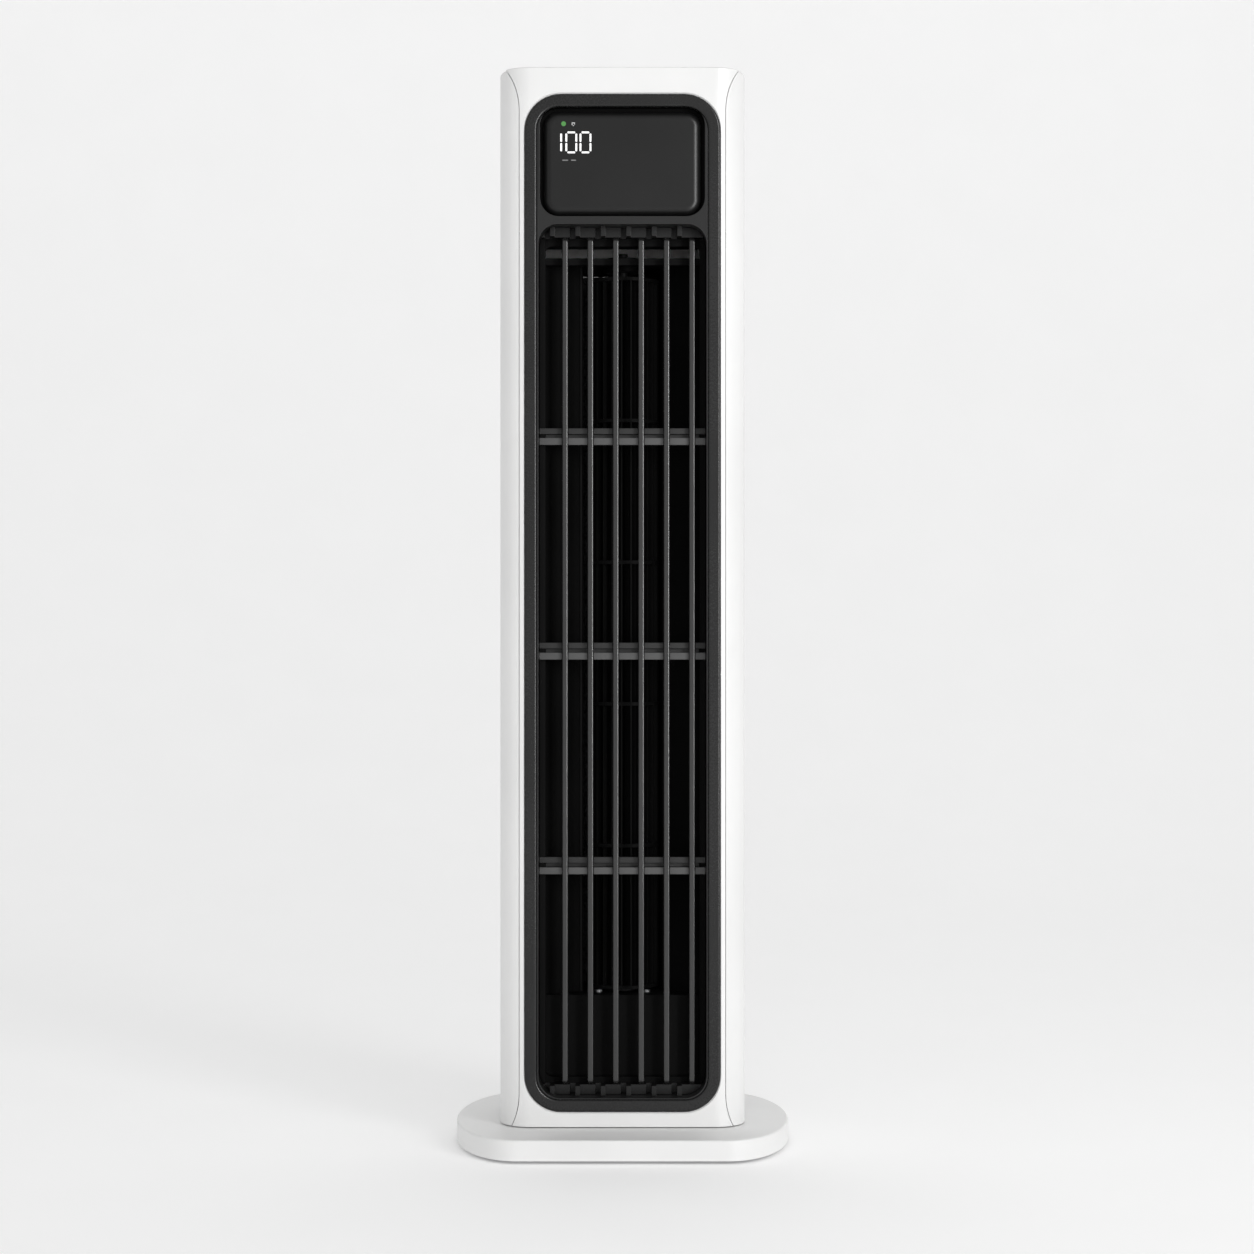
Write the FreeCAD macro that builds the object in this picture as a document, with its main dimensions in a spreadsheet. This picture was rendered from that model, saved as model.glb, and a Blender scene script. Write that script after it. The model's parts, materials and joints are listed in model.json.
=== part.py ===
import FreeCAD, Part
import math
import operator
import os
import Sketcher

# A tower fan, in millimetres.  +Z is up and the fan's front faces -Y.  The origin is the middle
# of the base's footprint, on the surface that it stands on.  The tower swings about the Z axis.

# ---- Driving dimensions -------------------------------------------------------------------

SIZES = {
    # base
    "base_width": 244, "base_depth": 187, "base_end": 48, "base_top": 17, "base_skirt": 2.4,
    "base_wall": 2.6, "base_edge": 1.6, "base_fit": 0.3, "base_plate_thickness": 2.4,
    "weight_thickness": 6, "weight_inset": 15, "weight_bore": 47, "weight_gap": 1,
    "foot_radius": 11.5, "foot_seat": 1, "foot_side_inset": 45, "foot_end_inset": 33.5,
    "boss_radius": 4.5, "boss_side_inset": 26, "boss_end_inset": 53.5, "boss_floor": 1,
    "gland_level": 9.6, "gland_nose": 4.6, "gland_bore": 3.5, "gland_flange": 2,
    "gland_flange_width": 14, "gland_flange_height": 9.2,
    # swing bearing and its drive
    "post_radius": 14, "post_bore": 8, "post_top": 40, "post_clearance": 0.05,
    "post_screw_gap": 9, "flange_rim": 7, "flange_thickness": 3.5, "thread_floor": 0.6,
    "thrust_gap": 8, "thrust_width": 12, "thrust_thickness": 1.2,
    "moving_gap": 0.3, "gear_module": 1, "gear_teeth": 60, "pinion_teeth": 15,
    "gear_bottom": 27, "gear_thickness": 6, "gear_backlash": 0.16,
    "stop_thickness": 3, "stop_gap": 3.4, "stop_width": 8, "stop_angle": 51, "stop_lug": 6,
    "stop_hub_rim": 2, "clip_thickness": 1.5, "clip_groove": 1, "clip_rim": 4,
    "swing_shaft_radius": 2.5, "swing_shaft_end": 1, "swing_motor_radius": 14,
    "swing_motor_height": 14, "swing_motor_roof": 2, "swing_shaft_gap": 3,
    "swing_bracket_level": 39, "swing_bracket_thickness": 2, "swing_bracket_reach": 22,
    "swing_leg_half": 8, "swing_post_gap": 4, "swing_hole_gap": 1,
    "ear_reach": 4, "ear_rim": 1, "ear_thickness": 1.5,
    # tower shell
    "body_width": 178, "body_depth": 100, "body_top": 781, "body_gap": 0.8,
    "front_corner": 23, "rear_corner": 30, "wall": 2.6, "shell_edge": 3.5, "panel_edge": 1.2,
    "seam_inset": 14.6, "seam_gap": 0.4, "seam_flare": 51, "flare_rise": 23.2, "flare_drop": 31,
    "panel_depth": 10, "floor_level": 20.5, "floor_thickness": 4, "floor_fit": 0.2,
    "collar_wall": 6, "collar_top": 26.5,
    "cap_inset": 27, "cap_front_inset": 22, "cap_rear_inset": 14, "cap_corner": 12, "cap_edge": 0.8,
    "cap_seat": 2.2, "cap_drop": 0.5, "cap_lip": 4,
    # black front
    "bezel_inset": 18.4, "bezel_rise": 10.7, "bezel_drop": 19.5, "bezel_corner": 26.6,
    "bezel_proud": 0.6, "bezel_depth": 4.4, "bezel_fit": 0.15, "bezel_edge": 1.5,
    "bezel_inner_edge": 1.5,
    "bezel_side": 8.9, "bezel_sill": 8.7, "bezel_head": 9.1, "window_corner": 16.5, "panel_lip": 1,
    "fascia_set": 1.6, "fascia_gap": 0.1, "fascia_fit": 0.2,
    "outlet_inset": 1.1, "bridge_height": 5.7,
    "outlet_upper_corner": 14, "outlet_lower_corner": 16, "sleeve_wall": 2.2,
    "recess_inset": 2.3, "recess_rise": 0.4, "recess_height": 79.2, "recess_corner": 13.5,
    "pad_side_gap": 2.2, "pad_lower_gap": 1, "pad_upper_gap": 2.8, "pad_corner": 11.5,
    "pad_set": 3.6, "pad_thickness": 7, "pad_edge": 6, "tray_thickness": 1.6, "tray_rim": 3,
    "board_gap": 2, "board_thickness": 1.6, "board_inset": 6,
    # outlet guard
    "slat_width": 4.35, "slat_pitch": 18.42, "slat_start": 14.4, "slat_set": 12, "slat_depth": 8.4,
    "slat_end": 4, "slat_rounding": 1.1,
    "rib_rise": 155, "rib_drop": 148, "rib_count": 3, "rib_height": 5.1, "rib_set": 16,
    "rib_web": 1.5, "rib_lap": 0.5, "second_rib_rise": 7.6, "second_rib_height": 4.4, "second_rib_set": 18.5,
    "guard_depth": 23.6, "rail_width": 4.6, "rail_set": 19.6, "rail_fit": 0.2,
    "lower_rail_height": 7.4, "upper_rail_height": 7.5, "end_rail_set": 16,
    "stub_width": 3.4, "stub_set": 9.5, "stub_notch": 4,
    # inside the tower
    "frame_thickness": 4, "frame_reveal": 1, "frame_rise": 4.3, "frame_drop": 5.4,
    "frame_border": 14, "frame_corner": 6, "frame_bar_drop": 16.5, "frame_bar_height": 5,
    "impeller_shift": 0.5, "impeller_gap": 3, "impeller_drop": 33.4,
    "section_count": 5, "disc_thickness": 2.5, "blade_count": 24, "blade_depth": 8,
    "blade_inset": 0.4, "blade_thickness": 1.2, "blade_lean": 3.2, "blade_bow": 1.3,
    "axle_radius": 4, "axle_length": 20, "hub_radius": 11, "hub_height": 9,
    "bush_radius": 7, "rubber_radius": 12, "bush_height": 10, "bearing_gap": 6,
    "bracket_thickness": 3, "bracket_lap": 3, "bracket_front_gap": 5, "bracket_rear_gap": 2,
    "guide_gap": 4, "guide_wall": 2, "guide_room": 0.5, "guide_start": -20, "guide_sweep": 130,
    "guide_mouth": 3, "guide_lap": 0.1, "tongue_angle": 200, "tongue_tip": 2,
    "motor_bracket_level": 106, "bracket_hole": 13, "motor_gap": 4.5, "motor_height": 38,
    "motor_wall": 3, "motor_floor": 1, "motor_rim": 9, "motor_screw_inset": 4, "motor_screw_depth": 5,
    "rotor_gap": 0.5, "rotor_height": 26,
    "cover_lap": 5, "cover_drop": 4, "cover_thickness": 2.4,
    "head_plate_drop": 3.9, "head_plate_thickness": 2,
    "power_board_half": 44, "power_board_height": 76, "power_board_y": 8,
    "capacitor_radius": 9, "capacitor_length": 26,
    # rear
    "grille_inset": 3, "grille_rise": 42.2, "grille_drop": 131, "grille_corner": 10,
    "grille_border": 7, "grille_fit": 0.25, "grille_bar": 3.6, "grille_pitch": 8.4,
    "grille_tie": 4, "grille_tie_count": 6, "grille_set": 0.4, "grille_sink": 1,
    "filter_frame_depth": 3, "filter_frame_lap": 3, "filter_gap": 0.5, "filter_thickness": 2,
    # fasteners
    "screw_radius": 1.5, "screw_head": 2.9, "screw_head_height": 1.8, "screw_fit": 0.1,
    "screw_slot": 0.8, "screw_slot_depth": 1, "screw_slot_half": 2,
}

doc = FreeCAD.newDocument("tower_fan")
sheet = doc.addObject("Spreadsheet::Sheet", "sizes")
for row, (alias, number) in enumerate(SIZES.items(), start=1):
    sheet.set(f"A{row}", alias)
    sheet.set(f"B{row}", str(number))
    sheet.setAlias(f"B{row}", alias)
doc.recompute()

# ---- Sizes as expressions -----------------------------------------------------------------

OPERATIONS = {"+": operator.add, "-": operator.sub, "*": operator.mul, "/": operator.truediv}


class Size:
    """A number with the expression that gives it from the sheet's cells."""

    def __init__(self, value, text):
        self.value = value
        self.text = text

    def __add__(self, other):
        return combine(self, "+", other)

    def __radd__(self, other):
        return combine(other, "+", self)

    def __sub__(self, other):
        return combine(self, "-", other)

    def __rsub__(self, other):
        return combine(other, "-", self)

    def __mul__(self, other):
        return combine(self, "*", other)

    def __rmul__(self, other):
        return combine(other, "*", self)

    def __truediv__(self, other):
        return combine(self, "/", other)

    def __neg__(self):
        return combine(0, "-", self)


def as_size(number):
    """A plain number as a Size."""
    return number if isinstance(number, Size) else Size(number, f"({number})")


def combine(left, sign, right):
    """Two sizes joined by an operation, as a value and as an expression."""
    first = as_size(left)
    second = as_size(right)
    return Size(OPERATIONS[sign](first.value, second.value), f"({first.text} {sign} {second.text})")


class Cells:
    """The sheet's cells by alias."""

    def __getattr__(self, alias):
        return Size(float(SIZES[alias]), "sizes." + alias)


D = Cells()

# ---- Building blocks ----------------------------------------------------------------------

nodes = []


def bind(thing, **sizes):
    """Tie an object's properties to sizes."""
    for name, size in sizes.items():
        thing.setExpression(name, as_size(size).text)
    return thing


def move(thing, x=0, y=0, z=0):
    """Tie an object's position to sizes."""
    for axis, size in (("x", x), ("y", y), ("z", z)):
        thing.setExpression("Placement.Base." + axis, as_size(size).text)
    return thing


def node(thing, name):
    """Make an object a sub-part of its own name."""
    thing.Label = name
    nodes.append(thing)
    return thing


def block(name, x, y, z):
    """A box between low and high sizes along each axis."""
    thing = doc.addObject("Part::Box", name)
    bind(thing, Length=x[1] - x[0], Width=y[1] - y[0], Height=z[1] - z[0])
    return move(thing, x[0], y[0], z[0])


def rod(name, radius, z, x=0, y=0):
    """An upright cylinder between two levels."""
    thing = doc.addObject("Part::Cylinder", name)
    bind(thing, Radius=radius, Height=z[1] - z[0])
    return move(thing, x, y, z[0])


def bar(name, radius, y, x, z):
    """A cylinder along Y."""
    thing = doc.addObject("Part::Cylinder", name)
    thing.Placement = FreeCAD.Placement(FreeCAD.Vector(), FreeCAD.Rotation(FreeCAD.Vector(1, 0, 0), -90))
    bind(thing, Radius=radius, Height=y[1] - y[0])
    return move(thing, x, y[0], z)


def fuse(name, *pieces):
    """Several overlapping pieces as one solid."""
    thing = doc.addObject("Part::MultiFuse", name)
    thing.Shapes = list(pieces)
    thing.Refine = True
    return thing


def cut(name, base, *tools):
    """A piece with other pieces taken out of it."""
    thing = doc.addObject("Part::Cut", name)
    thing.Base = base
    thing.Tool = tools[0] if len(tools) == 1 else fuse(name + "_tools", *tools)
    thing.Refine = True
    return thing


def common(name, first, second):
    """What two pieces share."""
    thing = doc.addObject("Part::Common", name)
    thing.Base = first
    thing.Tool = second
    return thing


def group(name, pieces):
    """Separate pieces kept apart in one object."""
    thing = doc.addObject("Part::Compound", name)
    thing.Links = list(pieces)
    return thing


def tube(name, outer, inner, z, x=0, y=0):
    """An upright tube between two levels."""
    through = (z[0] - PAST, z[1] + PAST)
    return cut(name, rod(name + "_outer", outer, z, x, y), rod(name + "_inner", inner, through, x, y))


# ---- Sketches and pads --------------------------------------------------------------------

# How near two places are the same, and how far a cutting or joining piece runs past what it meets.
TOUCH = 1e-4
PAST = 1

# The sketcher's numbers for the points of a line or an arc, and for the sketch's own origin.
START, END, CENTRE = 1, 2, 3
ORIGIN = (-1, 1)


def tie(sketch, kind, *places, size=None):
    """Add a constraint, bound to a size if it has one."""
    if size is None:
        sketch.addConstraint(Sketcher.Constraint(kind, *places))
        return
    number = sketch.addConstraint(Sketcher.Constraint(kind, *places, as_size(size).value))
    sketch.setExpression(f"Constraints[{number}]", as_size(size).text)


def line(sketch, start, end):
    return sketch.addGeometry(Part.LineSegment(FreeCAD.Vector(*start, 0), FreeCAD.Vector(*end, 0)))


def arc(sketch, centre, radius, first, last):
    """An arc from a first to a last angle in degrees, anticlockwise."""
    circle = Part.Circle(FreeCAD.Vector(*centre, 0), FreeCAD.Vector(0, 0, 1), radius)
    return sketch.addGeometry(Part.ArcOfCircle(circle, math.radians(first), math.radians(last)))


def rounded_rectangle(left, right, bottom, top, lower, upper):
    """Draw a rectangle whose lower and upper corners have their own radii."""

    def draw(sketch):
        west, east, south, north = (as_size(side).value for side in (left, right, bottom, top))
        low, high = as_size(lower).value, as_size(upper).value
        sides = [
            line(sketch, (west + low, south), (east - low, south)),
            line(sketch, (east, south + low), (east, north - high)),
            line(sketch, (east - high, north), (west + high, north)),
            line(sketch, (west, north - high), (west, south + low)),
        ]
        corners = [
            arc(sketch, (east - low, south + low), low, -90, 0),
            arc(sketch, (east - high, north - high), high, 0, 90),
            arc(sketch, (west + high, north - high), high, 90, 180),
            arc(sketch, (west + low, south + low), low, 180, 270),
        ]
        for index, corner in enumerate(corners):
            tie(sketch, "Tangent", sides[index], END, corner, START)
            tie(sketch, "Tangent", corner, END, sides[(index + 1) % 4], START)
        for index, radius in enumerate((lower, upper, upper, lower)):
            tie(sketch, "Radius", corners[index], size=radius)
        for index, kind in enumerate(("Horizontal", "Vertical", "Horizontal", "Vertical")):
            tie(sketch, kind, sides[index])
        tie(sketch, "DistanceY", *ORIGIN, sides[0], START, size=bottom)
        tie(sketch, "DistanceX", *ORIGIN, sides[1], START, size=right)
        tie(sketch, "DistanceY", *ORIGIN, sides[2], START, size=top)
        tie(sketch, "DistanceX", *ORIGIN, sides[3], START, size=left)

    return draw


def polygon(*corners):
    """Draw straight lines between corners, each tied to its two sizes."""

    def draw(sketch):
        points = [(as_size(x).value, as_size(y).value) for x, y in corners]
        edges = [line(sketch, points[i], points[(i + 1) % len(points)]) for i in range(len(points))]
        for index, edge in enumerate(edges):
            tie(sketch, "Coincident", edge, END, edges[(index + 1) % len(edges)], START)
            tie(sketch, "DistanceX", *ORIGIN, edge, START, size=corners[index][0])
            tie(sketch, "DistanceY", *ORIGIN, edge, START, size=corners[index][1])

    return draw


def disc(radius):
    """Draw a circle about the sketch's origin."""

    def draw(sketch):
        circle = Part.Circle(FreeCAD.Vector(), FreeCAD.Vector(0, 0, 1), as_size(radius).value)
        round_edge = sketch.addGeometry(circle)
        tie(sketch, "Coincident", round_edge, CENTRE, *ORIGIN)
        tie(sketch, "Radius", round_edge, size=radius)

    return draw


def flared_strip(half, flare, low, high, bottom, top):
    """Draw an upright strip whose four ends flare outwards along arcs tangent to its sides."""

    def draw(sketch):
        values = [as_size(size).value for size in (half, flare, low, high, bottom, top)]
        side, radius, lower, upper, south, north = values
        centre = side + radius
        rise = math.degrees(math.asin((north - upper) / radius))
        fall = math.degrees(math.asin((lower - south) / radius))
        wide_top = centre - math.sqrt(radius**2 - (north - upper) ** 2)
        wide_bottom = centre - math.sqrt(radius**2 - (lower - south) ** 2)
        right = line(sketch, (side, lower), (side, upper))
        upper_right = arc(sketch, (centre, upper), radius, 180 - rise, 180)
        roof = line(sketch, (wide_top, north), (-wide_top, north))
        upper_left = arc(sketch, (-centre, upper), radius, 0, rise)
        left = line(sketch, (-side, upper), (-side, lower))
        lower_left = arc(sketch, (-centre, lower), radius, 360 - fall, 360)
        floor = line(sketch, (-wide_bottom, south), (wide_bottom, south))
        lower_right = arc(sketch, (centre, lower), radius, 180, 180 + fall)
        tie(sketch, "Tangent", right, END, upper_right, END)
        tie(sketch, "Coincident", upper_right, START, roof, START)
        tie(sketch, "Coincident", roof, END, upper_left, END)
        tie(sketch, "Tangent", upper_left, START, left, START)
        tie(sketch, "Tangent", left, END, lower_left, END)
        tie(sketch, "Coincident", lower_left, START, floor, START)
        tie(sketch, "Coincident", floor, END, lower_right, END)
        tie(sketch, "Tangent", lower_right, START, right, START)
        for curve in (upper_right, upper_left, lower_left, lower_right):
            tie(sketch, "Radius", curve, size=flare)
        tie(sketch, "Vertical", right)
        tie(sketch, "Vertical", left)
        tie(sketch, "Horizontal", roof)
        tie(sketch, "Horizontal", floor)
        tie(sketch, "DistanceX", *ORIGIN, right, START, size=half)
        tie(sketch, "DistanceX", *ORIGIN, left, START, size=-half)
        tie(sketch, "DistanceY", *ORIGIN, right, START, size=low)
        tie(sketch, "DistanceY", *ORIGIN, left, END, size=low)
        tie(sketch, "DistanceY", *ORIGIN, right, END, size=high)
        tie(sketch, "DistanceY", *ORIGIN, left, START, size=high)
        tie(sketch, "DistanceY", *ORIGIN, roof, START, size=top)
        tie(sketch, "DistanceY", *ORIGIN, floor, START, size=bottom)

    return draw


def add_sketch(body, name, plane, offset, outlines):
    """A sketch on one of its own body's origin planes, moved along that plane's normal."""
    sketch = body.newObject("Sketcher::SketchObject", name)
    support = next(item for item in body.Origin.OriginFeatures if item.Role == plane)
    sketch.AttachmentSupport = [(support, "")]
    sketch.MapMode = "FlatFace"
    sketch.setExpression("AttachmentOffset.Base.z", as_size(offset).text)
    for draw in outlines:
        draw(sketch)
    return sketch


def add_pad(body, name, plane, low, high, *outlines, taper=0):
    """Pad outlines from a low to a high place along the plane's normal."""
    sketch = add_sketch(body, name + "_sketch", plane, low, outlines)
    feature = body.newObject("PartDesign::Pad", name + "_pad")
    feature.Profile = sketch
    feature.TaperAngle = taper
    bind(feature, Length=high - low)
    sketch.Visibility = False
    body.Tip = feature
    return feature


def padded(name, plane, low, high, *outlines, taper=0):
    """A body that is one pad.  On XZ_Plane the normal is -Y, so places count towards the front."""
    body = doc.addObject("PartDesign::Body", name)
    add_pad(body, name, plane, low, high, *outlines, taper=taper)
    return body


def dress(body, kind, name, size, wanted):
    """Round or bevel the body's edges that a test picks."""
    doc.recompute()
    tip = body.Tip
    edges = [f"Edge{i}" for i, edge in enumerate(tip.Shape.Edges, start=1) if wanted(edge)]
    feature = body.newObject("PartDesign::" + kind, name)
    feature.Base = (tip, edges)
    bind(feature, **{"Radius" if kind == "Fillet" else "Size": size})
    body.Tip = feature
    return body


def lies_at(axis, place, wanted=None):
    """A test for edges that lie wholly at one place along an axis, in a band of the front's outline."""

    def test(edge):
        box = edge.BoundBox
        low, high = getattr(box, axis + "Min"), getattr(box, axis + "Max")
        if abs(low - place.value) > TOUCH or abs(high - place.value) > TOUCH:
            return False
        reach = max(abs(box.XMin), abs(box.XMax))
        level = max(abs(box.ZMin - MIDDLE), abs(box.ZMax - MIDDLE))
        return wanted is None or wanted(reach, level)

    return test


# ---- Shared places ------------------------------------------------------------------------

NONE = as_size(0)

# base and swing
plate_bottom = D.base_skirt
plate_top = plate_bottom + D.base_plate_thickness
base_corners = [(-1, -1), (-1, 1), (1, -1), (1, 1)]
foot_x = D.base_width / 2 - D.foot_side_inset
foot_y = D.base_depth / 2 - D.foot_end_inset
boss_x = D.base_width / 2 - D.boss_side_inset
boss_y = D.base_depth / 2 - D.boss_end_inset
foot_places = [(sx * foot_x, sy * foot_y) for sx, sy in base_corners]
boss_places = [(sx * boss_x, sy * boss_y) for sx, sy in base_corners]
post_screw_circle = D.post_radius + D.post_screw_gap
flange_radius = post_screw_circle + D.flange_rim
thrust_inner = D.post_radius + D.thrust_gap
thrust_outer = thrust_inner + D.thrust_width
clip_radius = D.post_radius + D.clip_rim
pinion_x = D.gear_module * (D.gear_teeth + D.pinion_teeth) / 2
gear_top = D.gear_bottom + D.gear_thickness
stop_top = gear_top + D.stop_thickness
stop_reach = D.body_depth / 2 - D.wall - D.stop_gap
floor_top = D.floor_level + D.floor_thickness

# tower shell and the black front, as half widths and levels
front = -D.body_depth / 2
rear = D.body_depth / 2
body_bottom = D.base_top + D.body_gap
panel_back = -front - D.panel_depth
bezel_face = -front + D.bezel_proud
fascia_back = bezel_face - D.bezel_depth - D.fascia_gap
bezel_half = D.body_width / 2 - D.bezel_inset
bezel_bottom = body_bottom + D.bezel_rise
bezel_top = D.body_top - D.bezel_drop
window_half = bezel_half - D.bezel_side
window_bottom = bezel_bottom + D.bezel_sill
window_top = bezel_top - D.bezel_head
recess_half = window_half - D.recess_inset
recess_top = window_top + D.recess_rise
recess_bottom = recess_top - D.recess_height
pad_half = recess_half - D.pad_side_gap
pad_bottom = recess_bottom + D.pad_lower_gap
pad_top = recess_top - D.pad_upper_gap
outlet_half = window_half - D.outlet_inset
outlet_bottom = window_bottom + D.outlet_inset
outlet_top = recess_bottom - D.bridge_height
MIDDLE = ((window_bottom + window_top) / 2).value

# outlet guard
guard_back = bezel_face - D.guard_depth
rail_inner = outlet_half - D.rail_width
slat_bottom = outlet_bottom + D.lower_rail_height
slat_top = outlet_top - D.upper_rail_height
slat_count = 1 + int((2 * rail_inner - D.slat_start).value / D.slat_pitch.value)
rib_bottom = slat_bottom + D.rib_rise
rib_pitch = (slat_top - D.rib_drop - rib_bottom) / (D.rib_count - 1)

# air duct, impeller and motor
grille_back = rear - D.wall - D.grille_set
room_front = -guard_back + D.frame_thickness
room_back = grille_back - D.filter_frame_depth
room_half = (room_back - room_front) / 2
axis_y = room_front + room_half - D.impeller_shift
frame_half = rail_inner + D.frame_reveal
frame_bottom = slat_bottom + D.frame_rise
frame_top = slat_top - D.frame_drop
frame_bar_level = slat_top - D.frame_bar_drop
impeller_radius = room_half - D.guide_room - D.guide_wall - D.guide_gap
duct_bottom = D.motor_bracket_level + D.bracket_thickness
impeller_bottom = duct_bottom + D.impeller_gap
impeller_top = outlet_top - D.impeller_drop
section_height = (impeller_top - D.disc_thickness - impeller_bottom) / D.section_count
bearing_low = impeller_top + D.bearing_gap
duct_top = bearing_low + (D.bush_height - D.bracket_thickness) / 2
motor_radius = room_half - D.motor_gap
motor_bottom = D.motor_bracket_level - D.motor_height
rotor_radius = motor_radius - D.motor_rim
motor_screw_circle = motor_radius - D.motor_screw_inset
head_plate_level = outlet_top - D.head_plate_drop

# rear grille
grille_half = D.body_width / 2 - D.rear_corner - D.grille_inset
grille_bottom = body_bottom + D.grille_rise
grille_top = D.body_top - D.grille_drop


def body_plan(inset):
    """The tower's outline, seen from above, moved inwards."""
    half = D.body_width / 2 - inset
    return rounded_rectangle(-half, half, front + inset, rear - inset,
                             D.front_corner - inset, D.rear_corner - inset)


def base_oval(name, inset, low, high):
    """The base's outline: a straight middle with an elliptical end on each side."""
    straight = D.base_width / 2 - D.base_end
    deep = D.base_depth / 2 - inset
    pieces = [block(name + "_middle", (-straight, straight), (-deep, deep), (low, high))]
    for side in (-1, 1):
        tag = "_left" if side < 0 else "_right"
        ellipse = doc.addObject("Part::Ellipse", name + tag + "_edge")
        turn = FreeCAD.Rotation(FreeCAD.Vector(0, 0, 1), 90)
        ellipse.Placement = FreeCAD.Placement(FreeCAD.Vector(), turn)
        bind(ellipse, MajorRadius=deep, MinorRadius=D.base_end - inset)
        move(ellipse, side * straight, 0, low)
        end = doc.addObject("Part::Extrusion", name + tag)
        end.Base = ellipse
        end.DirMode = "Custom"
        end.Dir = FreeCAD.Vector(0, 0, 1)
        end.Solid = True
        bind(end, LengthFwd=high - low)
        pieces.append(end)
    return fuse(name, *pieces)


def rounded_top(name, base, level, radius):
    """A piece with the edges at one level rounded."""
    doc.recompute()
    thing = doc.addObject("Part::Fillet", name)
    thing.Base = base
    test = lies_at("Z", level)
    picked = [i for i, edge in enumerate(base.Shape.Edges, start=1) if test(edge)]
    thing.Edges = [(index, radius.value, radius.value) for index in picked]
    return thing


def upright_screw(name, x, y, tip, seat):
    """A screw whose head sits on a seat above its tip."""
    head_top = seat + D.screw_head_height
    shank = rod(name + "_shank", D.screw_radius, (tip, seat + D.screw_head_height / 2), x, y)
    head = rod(name + "_head", D.screw_head, (seat, head_top), x, y)
    return cut(name, fuse(name + "_whole", shank, head), *cross(name, x, y, head_top))


def hanging_screw(name, x, y, tip, seat):
    """A screw whose head sits under a seat below its tip."""
    head_bottom = seat - D.screw_head_height
    shank = rod(name + "_shank", D.screw_radius, (seat - D.screw_head_height / 2, tip), x, y)
    head = rod(name + "_head", D.screw_head, (head_bottom, seat), x, y)
    return cut(name, fuse(name + "_whole", shank, head), *cross(name, x, y, head_bottom))


def cross(name, x, y, level):
    """The two slots of a cross recess, centred on the head's outer face."""
    long = D.screw_slot_half
    thin = D.screw_slot / 2
    deep = (level - D.screw_slot_depth, level + D.screw_slot_depth)
    return [
        block(name + "_slot_x", (x - long, x + long), (y - thin, y + thin), deep),
        block(name + "_slot_y", (x - thin, x + thin), (y - long, y + long), deep),
    ]


def rear_screw(name, x, z, seat):
    """A screw that goes in from behind, with its head on the seat."""
    head_end = seat + D.screw_head_height
    tip = room_back
    shank = bar(name + "_shank", D.screw_radius, (tip, seat + D.screw_head_height / 2), x, z)
    head = bar(name + "_head", D.screw_head, (seat, head_end), x, z)
    long = D.screw_slot_half
    thin = D.screw_slot / 2
    deep = (head_end - D.screw_slot_depth, head_end + D.screw_slot_depth)
    slots = [
        block(name + "_slot_x", (x - long, x + long), deep, (z - thin, z + thin)),
        block(name + "_slot_z", (x - thin, x + thin), deep, (z - long, z + long)),
    ]
    return cut(name, fuse(name + "_whole", shank, head), *slots)


# ---- Base ---------------------------------------------------------------------------------

def make_base_cover():
    """The white top of the base: a shell with screw bosses, a hole for the post and the gland."""
    outside = rounded_top("cover_outside", base_oval("cover_blank", NONE, D.base_skirt, D.base_top),
                          D.base_top, D.base_edge)
    ceiling = D.base_top - D.base_wall
    hollow = base_oval("cover_hollow", D.base_wall, D.base_skirt - PAST, ceiling)
    shell = cut("cover_shell", outside, hollow)
    bosses = [rod(f"cover_boss_{i}", D.boss_radius, (plate_top, ceiling + PAST), x, y)
              for i, (x, y) in enumerate(boss_places, start=1)]
    holes = [rod(f"cover_boss_hole_{i}", D.screw_radius, (plate_top - PAST, ceiling), x, y)
             for i, (x, y) in enumerate(boss_places, start=1)]
    holes.append(rod("cover_post_hole", D.post_radius + D.moving_gap, (ceiling - PAST, D.base_top + PAST)))
    gland_y = D.base_depth / 2 - D.base_wall - PAST
    holes.append(bar("cover_gland_hole", D.gland_nose, (gland_y, D.base_depth / 2 + PAST), 0, D.gland_level))
    node(cut("cover_cut", fuse("cover_bossed", shell, *bosses), *holes), "base_cover")


def make_base_plate():
    """The bottom plate, with seats for the feet and holes for the screws."""
    blank = base_oval("plate_blank", D.base_wall + D.base_fit, plate_bottom, plate_top)
    tools = [rod(f"plate_seat_{i}", D.foot_radius, (plate_bottom - PAST, plate_bottom + D.foot_seat), x, y)
             for i, (x, y) in enumerate(foot_places, start=1)]
    through = (plate_bottom - PAST, plate_top + PAST)
    for i, (x, y) in enumerate(boss_places, start=1):
        tools.append(rod(f"plate_hole_{i}", D.screw_radius + D.screw_fit, through, x, y))
        sink = (plate_bottom - PAST, plate_bottom + D.foot_seat)
        tools.append(rod(f"plate_sink_{i}", D.screw_head + D.screw_fit, sink, x, y))
    for i, (x, y) in enumerate(post_screw_places(), start=1):
        thread = (plate_bottom + D.thread_floor, plate_top + PAST)
        tools.append(rod(f"plate_post_hole_{i}", D.screw_radius, thread, x, y))
    tools.append(rod("plate_cable_hole", D.post_bore, (plate_top - PAST, plate_top + PAST)))
    node(cut("plate_cut", blank, *tools), "base_plate")


def post_screw_places():
    """Four places round the post's flange."""
    reach = post_screw_circle * math.sqrt(0.5)
    return [(sx * reach, sy * reach) for sx in (-1, 1) for sy in (-1, 1)]


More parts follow.
